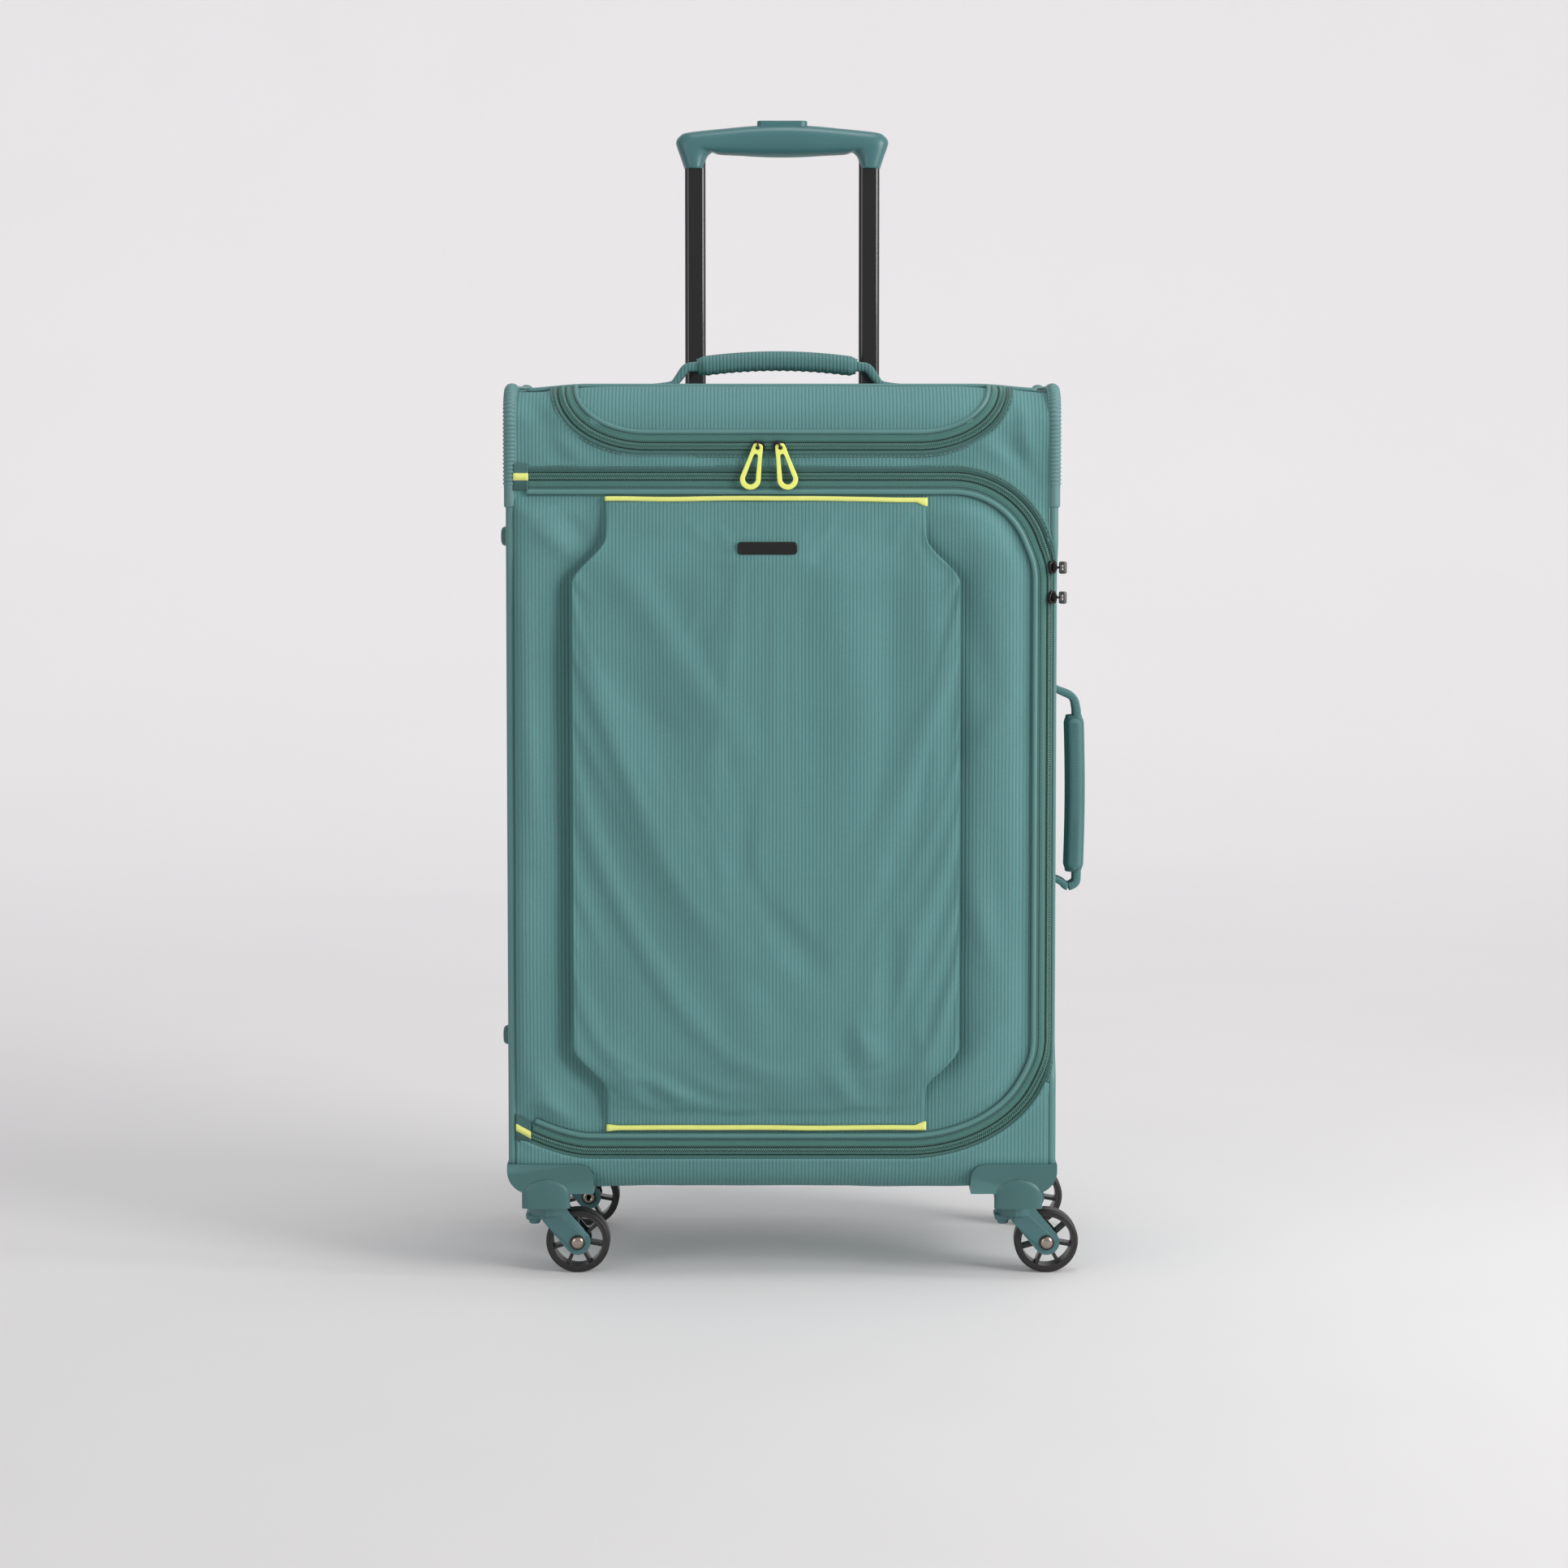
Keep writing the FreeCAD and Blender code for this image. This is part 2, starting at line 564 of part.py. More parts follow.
def build_pocket():
    """Pleated front pocket, entered from its left edge, with its trims and blank badge."""
    whole = prism_y(pocket_outline(0), FRONT - POCKET_PROUD - 1, FRONT)
    far = CASE_WIDTH
    whole = whole.common(prism_x(pocket_depth(0), -far, far))
    high = TOP - POCKET_TOP_DROP - POCKET_NECK - POCKET_SHOULDER
    low = CASE_BOTTOM + POCKET_BOTTOM_RISE + POCKET_NECK + POCKET_SHOULDER
    room = box(POCKET_SHIFT - POCKET_HALF - 10, POCKET_SHIFT + POCKET_HALF - POCKET_WALL,
               FRONT - POCKET_PROUD + POCKET_WALL, FRONT + 1, low, high)
    save("front_pocket", one(whole.cut(room)))
    trims = []
    half = POCKET_HALF_END
    face = FRONT - POCKET_END_PROUD
    for z in (TOP - POCKET_TOP_DROP + SEAM, CASE_BOTTOM + POCKET_BOTTOM_RISE - SEAM - TRIM_HEIGHT):
        trims.append(box(POCKET_SHIFT - half, POCKET_SHIFT + half, face - TRIM_THICK, FRONT,
                         z, z + TRIM_HEIGHT))
    save("pocket_trim", *trims)
    z = TOP - BADGE_DROP
    rise = (TOP - POCKET_TOP_DROP - z) / POCKET_TAPER
    face = FRONT - POCKET_END_PROUD - (POCKET_PROUD - POCKET_END_PROUD) * min(rise, 1.0)
    middle = POCKET_SHIFT + 1
    badge = rounded_box(middle - BADGE_SIZE.x / 2, middle + BADGE_SIZE.x / 2,
                        face - BADGE_SIZE.y, face, z, z + BADGE_SIZE.z, Y, 1.5)
    save("badge", badge)


# --- top flap -------------------------------------------------------------------------------
def build_flap():
    """Flap over the top front edge, with both halves of its zip."""
    clear = HINGE_PIPING_R + CLOTH_GAP
    zone = box(-HALF, HALF, FRONT - 5, HINGE_Y - clear, CASE_BOTTOM + EDGE_RADIUS, TOP + 5)
    skin = case_skin(0, -PANEL, -SIDE_IN, SIDE_IN).common(zone)
    layer = case_skin(TAPE_THICK, 0, -SIDE_IN, SIDE_IN).common(zone)
    inside = prism_y(flap_outline(CLOTH_GAP / 2), FRONT - 5, 0)
    save("top_flap", one(skin.common(inside)))
    inner = prism_y(flap_outline(TAPE_WIDTH), FRONT - 5, 0)
    save("flap_zip_half", one(layer.common(inside).cut(inner)))
    outer = prism_y(flap_outline(-TAPE_WIDTH / 2), FRONT - 5, 0)
    hole = prism_y(flap_outline(-CLOTH_GAP / 2), FRONT - 5, 0)
    save("top_zip_body_half", one(layer.common(outer).cut(hole)))


def slider_pull(x, side):
    """Teardrop pull that hangs from a flap slider and leans outwards."""
    z = TOP - FLAP_HEIGHT
    y = FRONT - LID_PIPING_PROUD - 2 * RUN_GAP - PULL_THICK
    top = PULL_TOP_WIDTH / 2
    foot = PULL_FOOT_WIDTH / 2
    low = -PULL_LENGTH
    body = outline([V(-top, 0, 0), V(top, 0, 0), V(foot, 0, low + foot),
                    corner(V(foot, 0, low + foot), V(foot, 0, low), V(0, 0, low)),
                    corner(V(0, 0, low), V(-foot, 0, low), V(-foot, 0, low + foot))])
    pull = body.extrude(V(0, PULL_THICK, 0))
    slot = rod(V(0, -1, low + foot), Y, PULL_THICK + 2, foot * 0.45)
    pull = pull.cut(slot).cut(rod(V(0, -1, -top * 0.7), Y, PULL_THICK + 2, top * 0.45))
    pull.rotate(V(0, 0, 0), Y, -side * PULL_LEAN)
    pull.translate(V(x, y, z + 1.0))
    return pull


def build_flap_sliders():
    """The flap's two sliders and their pulls."""
    z = TOP - FLAP_HEIGHT
    back = FRONT - TAPE_THICK - RUN_GAP
    for name, side in (("left", -1), ("right", 1)):
        x = TOP_MEET_X + side * TOP_SLIDER_X
        slider = rounded_box(x - TOP_SLIDER.x / 2, x + TOP_SLIDER.x / 2, back - TOP_SLIDER.y,
                             back, z - TOP_SLIDER.z / 2, z + TOP_SLIDER.z / 2, Y, 2.0)
        pull = slider_pull(x, side)
        room = box(x - 12, x + 12, FRONT - 12, FRONT - LID_PIPING_PROUD + SLIDER_RELIEF,
                   z - 40, z + 2.5)
        save("top_slider_" + name, one(slider.cut(room)))
        save("top_pull_" + name, one(pull))


def corner_frame(shape, z):
    """Turn a piece drawn facing -Y to face outwards from the case's right front corner."""
    out = V(math.sqrt(0.5), -math.sqrt(0.5), 0)
    shape.rotate(V(0, 0, 0), Z, 45)
    shape.translate(V(HALF + 0.5 - GUSSET_CHAMFER / 2, FRONT + GUSSET_CHAMFER / 2, z)
                    + out * RUN_GAP)
    return shape


def build_main_sliders():
    """The main zip's two sliders and their square pulls, on the right front corner."""
    size = MAIN_SLIDER
    for name, drop in (("upper", MAIN_UPPER_DROP), ("lower", MAIN_LOWER_DROP)):
        z = TOP - drop
        body = rounded_box(-size.x / 2, size.x / 2, -size.y, 0, -size.z / 2, size.z / 2, Y, 1.5)
        save("main_slider_" + name, corner_frame(body, z))
        half = MAIN_PULL_WIDTH / 2
        near = -size.y - 2 * RUN_GAP
        pull = rounded_box(-half, half, near - MAIN_PULL_REACH, near, -PULL_THICK / 2,
                           PULL_THICK / 2, Z, 1.5)
        pull = pull.cut(rod(V(0, near - 2.8, -5), Z, 10, 1.4))
        save("main_pull_" + name, corner_frame(pull, z))


# --- carry handles --------------------------------------------------------------------------
def handle_side(grip_low, grip_high):
    """Carry handle seen along its grip: a narrow round root that widens to the grip."""
    half = GRIP_WIDTH / 2
    root = KNUCKLE_R
    return [V(0, -root, root), corner(V(0, -root, root), V(0, -root, 0), V(0, 0, 0)),
            corner(V(0, 0, 0), V(0, root, 0), V(0, root, root)), V(0, half, grip_low),
            V(0, half, grip_high), V(0, -half, grip_high)]


def build_top_handle():
    """Padded carry handle on the top, and the patches it is sewn to."""
    x = TOP_HANDLE_X
    base = TOP + ANCHOR_THICK + RUN_GAP
    reach = TOP_HANDLE_RISE - ANCHOR_THICK - RUN_GAP
    under = reach - TOP_GRIP_THICK
    half = TOP_HANDLE_HALF
    grip = TOP_GRIP_HALF
    arch = [V(-half, 0, 0), V(-half + 18, 0, 0), V(-grip + 4, 0, under), V(grip - 4, 0, under),
            V(half - 18, 0, 0), V(half, 0, 0), V(grip + 2, 0, reach), V(-grip - 2, 0, reach)]
    front = prism_y(arch, -GRIP_WIDTH, GRIP_WIDTH)
    side = prism_x(handle_side(under, reach + 1), -half - 1, half + 1)
    handle = one(front.common(side))
    handle.translate(V(x, TOP_HANDLE_Y, base))
    save("top_handle", handle)


def build_side_handle():
    """Padded carry handle on the right side, hanging a little below its upper root."""
    base = HALF + ANCHOR_THICK + RUN_GAP
    reach = SIDE_HANDLE_REACH - ANCHOR_THICK - RUN_GAP
    under = reach - SIDE_GRIP_THICK
    low = SIDE_HANDLE_Z - SIDE_HANDLE_HALF
    high = SIDE_HANDLE_Z + SIDE_HANDLE_HALF
    grip_low = SIDE_HANDLE_Z - SIDE_GRIP_BELOW
    grip_high = SIDE_HANDLE_Z + SIDE_GRIP_ABOVE
    arch = [V(0, 0, low), V(reach, 0, grip_low - 2), V(reach, 0, grip_high), V(0, 0, high),
            V(0, 0, high - 16), V(under, 0, grip_high - 8), V(under, 0, grip_low + 10),
            V(0, 0, low + 16)]
    front = prism_y(arch, -GRIP_WIDTH, GRIP_WIDTH)
    side = prism_x(handle_side(under, reach + 1), 0, 2 * SIDE_HANDLE_HALF + 2)
    side.rotate(V(0, 0, 0), Y, 90)
    side.translate(V(0, 0, high + 1))
    handle = one(front.common(side))
    handle.translate(V(base, 0, 0))
    save("side_handle", handle)


def build_anchors():
    """The four sewn patches under the carry handles' roots."""
    w = ANCHOR_WIDTH / 2
    patches = []
    for side in (-1, 1):
        x = TOP_HANDLE_X + side * (TOP_HANDLE_HALF - ANCHOR_LENGTH / 2 + 4)
        patches.append(rounded_box(x - ANCHOR_LENGTH / 2, x + ANCHOR_LENGTH / 2, TOP_HANDLE_Y - w,
                                   TOP_HANDLE_Y + w, TOP, TOP + ANCHOR_THICK, Z, 3.0))
        z = SIDE_HANDLE_Z + side * (SIDE_HANDLE_HALF - ANCHOR_LENGTH / 2 + 4)
        patches.append(rounded_box(HALF, HALF + ANCHOR_THICK, -w, w, z - ANCHOR_LENGTH / 2,
                                   z + ANCHOR_LENGTH / 2, X, 3.0))
    save("handle_anchors", *patches)


# --- trolley handle -------------------------------------------------------------------------
def tube(x, width, depth, z0, z1, wall):
    """Upright tube with rounded corners."""
    radius = depth * 0.3
    outer = rounded_box(x - width / 2, x + width / 2, TROLLEY_Y - depth / 2,
                        TROLLEY_Y + depth / 2, z0, z1, Z, radius)
    w = width / 2 - wall
    d = depth / 2 - wall
    inner = rounded_box(x - w, x + w, TROLLEY_Y - d, TROLLEY_Y + d, z0 - 1, z1 + 1, Z,
                        radius - wall)
    return outer.cut(inner)


def tube_hole(x, width, depth, z0, z1):
    """Opening that a tube of this size passes through with sliding clearance."""
    w = width / 2 + SLIDE_GAP
    d = depth / 2 + SLIDE_GAP
    return rounded_box(x - w, x + w, TROLLEY_Y - d, TROLLEY_Y + d, z0, z1, Z,
                       depth * 0.3 + SLIDE_GAP)


def tube_pair(width, depth, z0, z1):
    """The same tube on both sides."""
    left = tube(-ROD_X, width, depth, z0, z1, TUBE_WALL)
    return [left, mirror_x(left)]


def build_trolley_tubes():
    """Fixed outer tubes, middle tubes and inner rods, the rods drawn locked out."""
    stage_top = WELL_FLOOR + BEZEL_WALL + 1.0
    rod_foot = TUBE_FOOT + ROD_TRAVEL + 8.0
    rod_top = GRIP_ARM_Z + 12.0
    save("trolley_outer_tubes", *tube_pair(TUBE_OUT.x, TUBE_OUT.y, TUBE_FOOT, WELL_FLOOR))
    save("trolley_middle_tubes", *tube_pair(TUBE_MID.x, TUBE_MID.y, TUBE_FOOT + 4.0, stage_top))
    save("trolley_inner_tubes", *tube_pair(ROD_WIDTH, ROD_DEPTH, rod_foot, rod_top))


def build_trolley_mounts():
    """Bezel with its well in the top panel, and the bracket under the outer tubes."""
    x = WELL_HALF_X
    y = WELL_HALF_Y
    lip = BEZEL_LIP
    round_r = WELL_CORNER_R
    well = rounded_box(-x, x, TROLLEY_Y - y, TROLLEY_Y + y, WELL_FLOOR, TOP, Z, round_r)
    rim = rounded_box(-x - lip, x + lip, TROLLEY_Y - y - lip, TROLLEY_Y + y + lip, TOP,
                      TOP + BEZEL_LIP_THICK, Z, round_r + 2)
    wall = BEZEL_WALL
    room = rounded_box(-x + wall, x - wall, TROLLEY_Y - y + wall, TROLLEY_Y + y - wall,
                       WELL_FLOOR + wall, TOP + 5, Z, round_r - wall)
    bezel = well.fuse(rim).cut(room)
    for side in (-1, 1):
        bezel = bezel.cut(tube_hole(side * ROD_X, TUBE_MID.x, TUBE_MID.y, WELL_FLOOR - 1,
                                    WELL_FLOOR + 5))
    save("trolley_bezel", one(bezel))
    half = ROD_X + TUBE_OUT.x / 2 + 4
    foot = BRACKET_FOOT
    save("trolley_base_bracket", rounded_box(-half, half, TROLLEY_Y - TUBE_OUT.y / 2,
                                             TROLLEY_Y + TUBE_OUT.y / 2, foot,
                                             foot + BRACKET_HEIGHT, Z, 5.0))


def build_grip():
    """Moulded grip on the inner rods, its release button and the push rods inside."""
    top = GRIP_TOP
    ends = top - GRIP_CROWN
    low = GRIP_ARM_Z
    under = top - GRIP_BAR
    outer = GRIP_HALF
    arm_out = outer - ARM_OUTER_INSET
    crown_l = (V(-outer * 0.4, 0, top + 1.2), V(outer * 0.4, 0, top + 1.2),
               V(outer - 9, 0, ends))
    side_r = corner(V(outer - 9, 0, ends), V(outer, 0, ends), V(outer, 0, ends - 9))
    profile = [V(-outer + 9, 0, ends), crown_l, side_r, V(arm_out, 0, low),
               V(ARM_INNER_HALF, 0, low), V(ARCH_HALF, 0, under - 1), V(0, 0, under),
               V(-ARCH_HALF, 0, under - 1), V(-ARM_INNER_HALF, 0, low), V(-arm_out, 0, low),
               V(-outer, 0, ends - 9), corner(V(-outer, 0, ends - 9), V(-outer, 0, ends),
                                              V(-outer + 9, 0, ends))]
    half = GRIP_DEPTH / 2
    grip = prism_y(profile, TROLLEY_Y - half, TROLLEY_Y + half)
    link_top = top - LINK_DROP
    gap = 0.6
    travel = BUTTON_PROUD
    grip = grip.cut(box(-ROD_X - PUSH_ROD_R - gap, ROD_X + PUSH_ROD_R + gap,
                        TROLLEY_Y - LINK_HALF_DEPTH - gap, TROLLEY_Y + LINK_HALF_DEPTH + gap,
                        link_top - LINK_HEIGHT - travel - gap, link_top + gap))
    b = BUTTON_HALF + SLIDE_GAP
    d = BUTTON_DEPTH / 2 + SLIDE_GAP
    grip = grip.cut(rounded_box(-b, b, TROLLEY_Y - d, TROLLEY_Y + d,
                                top - BUTTON_SINK - travel - gap, top + 9, Z, d * 0.95))
    stem = 8.0
    grip = grip.cut(box(-stem - gap, stem + gap, TROLLEY_Y - LINK_HALF_DEPTH - gap,
                        TROLLEY_Y + LINK_HALF_DEPTH + gap, link_top - 1, top))
    for side in (-1, 1):
        socket = rounded_box(side * ROD_X - ROD_WIDTH / 2, side * ROD_X + ROD_WIDTH / 2,
                             TROLLEY_Y - ROD_DEPTH / 2, TROLLEY_Y + ROD_DEPTH / 2, low - 1,
                             low + 12.0, Z, ROD_DEPTH * 0.3)
        grip = grip.cut(socket).cut(rod(V(side * ROD_X, TROLLEY_Y, low), Z, link_top - low,
                                        PUSH_ROD_R + gap))
    save("trolley_grip", one(grip))
    button = rounded_box(-BUTTON_HALF, BUTTON_HALF, TROLLEY_Y - BUTTON_DEPTH / 2,
                         TROLLEY_Y + BUTTON_DEPTH / 2, top - BUTTON_SINK, top + BUTTON_PROUD,
                         Z, BUTTON_DEPTH * 0.45)
    button = button.fuse(box(-stem, stem, TROLLEY_Y - LINK_HALF_DEPTH,
                             TROLLEY_Y + LINK_HALF_DEPTH, link_top, top - BUTTON_SINK))
    save("release_button", one(button.removeSplitter()))
    link = box(-ROD_X - PUSH_ROD_R, ROD_X + PUSH_ROD_R, TROLLEY_Y - LINK_HALF_DEPTH,
               TROLLEY_Y + LINK_HALF_DEPTH, link_top - LINK_HEIGHT, link_top)
    rod_foot = TUBE_FOOT + ROD_TRAVEL + 12.0
    for side in (-1, 1):
        link = link.fuse(rod(V(side * ROD_X, TROLLEY_Y, rod_foot), Z,
                             link_top - LINK_HEIGHT / 2 - rod_foot, PUSH_ROD_R))
    save("release_push_rods", one(link))


# --- casters --------------------------------------------------------------------------------
def housing():
    """Moulded corner housing at the right front, with the boss that carries the swivel."""
    z_low = CASE_BOTTOM - HOUSING_UNDER
    z_high = CASE_BOTTOM + HOUSING_TOP_RISE
    y0 = FRONT - HOUSING_PROUD
    toe = HOUSING_TOE_R
    nose = HOUSING_SHOULDER_R
    x0 = SWIVEL_X - HOUSING_INNER
    x1 = SWIVEL_X + HOUSING_OUTER
    face = [V(x0, 0, z_low), V(x1 - toe, 0, z_low),
            corner(V(x1 - toe, 0, z_low), V(x1, 0, z_low), V(x1, 0, z_low + toe)),
            V(x1, 0, z_high), V(x0 + nose, 0, z_high),
            corner(V(x0 + nose, 0, z_high), V(x0, 0, z_high), V(x0, 0, z_high - nose))]
    shell = prism_y(face, y0, y0 + HOUSING_LENGTH)
    shell = shell.cut(case_block(SEAM / 2, -HALF - 10, SIDE_IN + SEAM / 2))
    room = PIPING_R - PIPING_INSET + SEAM
    shell = one(shell.cut(case_block(room, 0, piping_x() + PIPING_R + SEAM / 2)
                          .common(box(SIDE_IN + SEAM / 2, HALF + 10, FRONT - 10, 0, 0, TOP))))
    boss = Part.makeCone(BOSS_FOOT_R, BOSS_TOP_R, z_low - BOSS_FOOT + 0.5,
                         V(SWIVEL_X, -SWIVEL_Y, BOSS_FOOT), Z)
    shell = shell.fuse(boss)
    shell = shell.cut(rod(V(SWIVEL_X, -SWIVEL_Y, 0), Z, CASE_BOTTOM, PIN_R + RUNNING))
    return one(shell.cut(rod(V(SWIVEL_X, -SWIVEL_Y, CASE_BOTTOM - PIN_HEAD - 0.5), Z, 10,
                             PIN_HEAD_R + 0.5)))


def housing_screws():
    """Two screws up through the right front housing's base."""
    screws = []
    z = CASE_BOTTOM - HOUSING_UNDER
    for x, y in ((SWIVEL_X - 26.0, -SWIVEL_Y), (SWIVEL_X, -SWIVEL_Y + 29.0)):
        head = rod(V(x, y, z), Z, 1.2, SCREW_HEAD_R)
        screws.append(one(head.fuse(rod(V(x, y, z), Z, HOUSING_UNDER - 0.3, SCREW_R))))
    return screws


def fork():
    """Caster fork about its swivel axis: round crown and two leaning arms."""
    half = WHEEL_WIDTH / 2 + SIDE_GAP + ARM
    crown = rod(V(0, 0, CROWN_TOP - CROWN_THICK), Z, CROWN_THICK, CROWN_R)
    lean = math.atan2(TRAIL, CROWN_TOP - WHEEL_R)
    across = V(math.cos(lean), 0, math.sin(lean)) * ARM_HALF
    hub = V(TRAIL, 0, WHEEL_R)
    root = V(0, 0, CROWN_TOP)
    arm = prism_y([root - across, root + across, hub + across, hub - across], -half, half)
    arm = arm.fuse(rod(V(TRAIL, -half, WHEEL_R), Y, 2 * half, ARM_HALF))
    arm = arm.common(box(-50, 50, -half, half, 0, CROWN_TOP))
    solid = arm.fuse(crown)
    slot = WHEEL_WIDTH / 2 + SIDE_GAP
    solid = solid.cut(rod(V(TRAIL, -slot, WHEEL_R), Y, 2 * slot, WHEEL_R + WHEEL_CLEAR))
    solid = solid.cut(rod(V(TRAIL, -half - 1, WHEEL_R), Y, 2 * half + 2, AXLE_R + 0.02))
    return one(solid.cut(rod(V(0, 0, 0), Z, CROWN_TOP + 1, PIN_R + 0.02)))


def wheel():
    """Spoked rim and its tyre, about the swivel axis."""
    half = WHEEL_WIDTH / 2
    centre = V(TRAIL, -half, WHEEL_R)
    inner_half = half * 0.7
    low = V(TRAIL, -inner_half, WHEEL_R)
    ring = rod(centre, Y, WHEEL_WIDTH, TYRE_INNER_R).cut(rod(centre, Y, WHEEL_WIDTH, RIM_INNER_R))
    hub = rod(centre, Y, WHEEL_WIDTH, HUB_R)
    rim = ring.fuse(hub)
    for index in range(SPOKES):
        spoke = box(HUB_R - 1, RIM_INNER_R + 0.6, 0, 2 * inner_half, -SPOKE_WIDTH / 2,
                    SPOKE_WIDTH / 2)
        spoke.rotate(V(0, 0, 0), Y, 10 + 360.0 * index / SPOKES)
        spoke.translate(low)
        rim = rim.fuse(spoke)
    rim = one(rim.cut(rod(centre, Y, WHEEL_WIDTH, AXLE_R + RUNNING)))
    tyre = rod(centre, Y, WHEEL_WIDTH, WHEEL_R)
    tyre = tyre.makeFillet(2.5, [e for e in tyre.Edges if e.Closed])
    tyre = one(tyre.cut(rod(centre, Y, WHEEL_WIDTH, TYRE_INNER_R)))
    return [rim, tyre]


def pins():
    """Axle rivet through the fork arms, and the swivel pin up into the housing."""
    half = WHEEL_WIDTH / 2 + SIDE_GAP + ARM
    axle = rod(V(TRAIL, -half, WHEEL_R), Y, 2 * half, AXLE_R)
    axle = axle.fuse(rod(V(TRAIL, -half - AXLE_HEAD, WHEEL_R), Y, AXLE_HEAD, AXLE_HEAD_R))
    axle = axle.fuse(rod(V(TRAIL, half, WHEEL_R), Y, AXLE_HEAD, AXLE_HEAD_R * 0.8))
    pin = rod(V(0, 0, CROWN_TOP - CROWN_THICK + 1), Z,
              CASE_BOTTOM - PIN_HEAD - CROWN_TOP + CROWN_THICK, PIN_R)
    pin = pin.fuse(rod(V(0, 0, CASE_BOTTOM - PIN_HEAD), Z, PIN_HEAD - 0.3, PIN_HEAD_R))
    return [one(axle), one(pin)]


def build_casters():
    """Four housings and casters; every caster trails to the right, as the case is parked."""
    block = housing()
    screws = housing_screws()
    block = block.cut(Part.makeCompound(screws))
    all_screws = []
    for end, flip_y in (("front", False), ("rear", True)):
        for side, flip_x in (("right", False), ("left", True)):
            name = end + "_" + side
            place = [block] + screws
            if flip_y:
                place = [shape.mirror(V(0, 0, 0), Y) for shape in place]
            if flip_x:
                place = [mirror_x(shape) for shape in place]
            save(name + "_housing", place[0])
            all_screws += place[1:]
            at = V(-SWIVEL_X if flip_x else SWIVEL_X, SWIVEL_Y if flip_y else -SWIVEL_Y, 0)
            groups = {"fork": [fork()], "wheel": wheel(), "pins": pins()}
            for part, solids in groups.items():
                if flip_y:
                    solids = [solid.mirror(V(0, 0, 0), Y) for solid in solids]
                for solid in solids:
                    solid.translate(at)
                save(name + "_" + part, *solids)
    save("housing_screws", *all_screws)


# --- inside and small pieces ----------------------------------------------------------------
def build_lining():
    """Lining walls of the main compartment and of the compartment under the flap."""
    gap = SEAM
    t = LINING
    x = SIDE_IN - gap
    inner = x - t - gap
    y0 = HINGE_Y
    y1 = LINING_BACK
    z0 = CASE_BOTTOM + PANEL + gap
    z1 = TOP - PANEL - gap
    front = FRONT + PANEL + LINING + 3.0
    floor = TOP - FLAP_POCKET_FLOOR
    side = box(x - t, x, y0, y1, z0, z1)
    end = box(FLAP_POCKET_HALF - t, FLAP_POCKET_HALF, y0, front + FLAP_POCKET_DEPTH,
              floor + gap, z1 - t - gap)
    walls = [side, mirror_x(side),
             box(-inner, inner, y0, y1, z0, z0 + t),
             box(-inner, inner, HINGE_Y + 6, y1, z1 - t, z1),
             box(-inner, inner, y1 - t, y1, z0 + t + gap, z1 - t - gap),
             box(-FLAP_POCKET_HALF, FLAP_POCKET_HALF, FRONT + PANEL + gap,
                 front + FLAP_POCKET_DEPTH, floor - t, floor),
             box(-FLAP_POCKET_HALF + t + gap, FLAP_POCKET_HALF - t - gap,
                 front + FLAP_POCKET_DEPTH - t, front + FLAP_POCKET_DEPTH, floor + gap,
                 z1 - t - gap),
             end, mirror_x(end)]
    save("lining", *walls)


def build_straps():
    """Two packing straps across the back of the main compartment, and their buckle."""
    y1 = LINING_BACK - LINING - SEAM
    half = SIDE_IN - 4.0
    z = STRAP_Z
    w = STRAP_WIDTH / 2
    strap = box(BUCKLE_HALF, half, y1 - STRAP_THICK, y1, z - w, z + w)
    buckle = rounded_box(-BUCKLE_HALF, BUCKLE_HALF, y1 - BUCKLE_THICK, y1, z - w - 3, z + w + 3,
                         Y, 4.0)
    save("packing_straps", strap, mirror_x(strap), buckle)


def build_name_tag():
    """Window for a name card, sewn to the right side panel."""
    z = TOP - TAG_DROP
    save("name_tag_window", rounded_box(HALF, HALF + TAG_SIZE.x, TAG_Y, TAG_Y + TAG_SIZE.y,
                                        z, z + TAG_SIZE.z, X, 2.0))


build_case_panels()
build_piping()
build_guards()
build_feet()
build_main_zip()
build_lid()
build_pocket()
build_flap()
build_flap_sliders()
build_main_sliders()
build_top_handle()
build_side_handle()
build_anchors()
build_trolley_tubes()
build_trolley_mounts()
build_grip()
build_casters()
build_lining()
build_straps()
build_name_tag()
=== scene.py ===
import math

import bmesh
import bpy
import numpy as np
from mathutils import Matrix, Vector, noise


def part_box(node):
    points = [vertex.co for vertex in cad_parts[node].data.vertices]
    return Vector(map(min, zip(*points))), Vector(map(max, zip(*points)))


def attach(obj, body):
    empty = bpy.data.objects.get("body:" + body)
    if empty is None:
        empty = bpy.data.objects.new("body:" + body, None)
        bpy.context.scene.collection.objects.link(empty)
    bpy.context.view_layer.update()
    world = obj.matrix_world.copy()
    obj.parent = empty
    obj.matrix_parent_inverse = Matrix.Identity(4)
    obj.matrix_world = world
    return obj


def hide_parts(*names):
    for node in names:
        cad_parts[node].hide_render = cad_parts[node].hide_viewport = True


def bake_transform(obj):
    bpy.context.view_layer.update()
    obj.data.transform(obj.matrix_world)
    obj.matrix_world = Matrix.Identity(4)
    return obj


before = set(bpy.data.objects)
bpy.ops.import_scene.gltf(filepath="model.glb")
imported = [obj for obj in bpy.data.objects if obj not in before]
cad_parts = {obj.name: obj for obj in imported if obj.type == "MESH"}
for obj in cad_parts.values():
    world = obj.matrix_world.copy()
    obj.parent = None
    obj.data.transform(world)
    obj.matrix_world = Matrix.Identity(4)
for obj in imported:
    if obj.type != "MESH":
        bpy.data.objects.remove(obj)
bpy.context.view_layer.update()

# Lengths below are in millimetres; MM turns them into Blender's metres.
MM = 0.001
CASTERS = ("front_left", "front_right", "rear_left", "rear_right")
X_AXIS, Y_AXIS, Z_AXIS = np.eye(3)


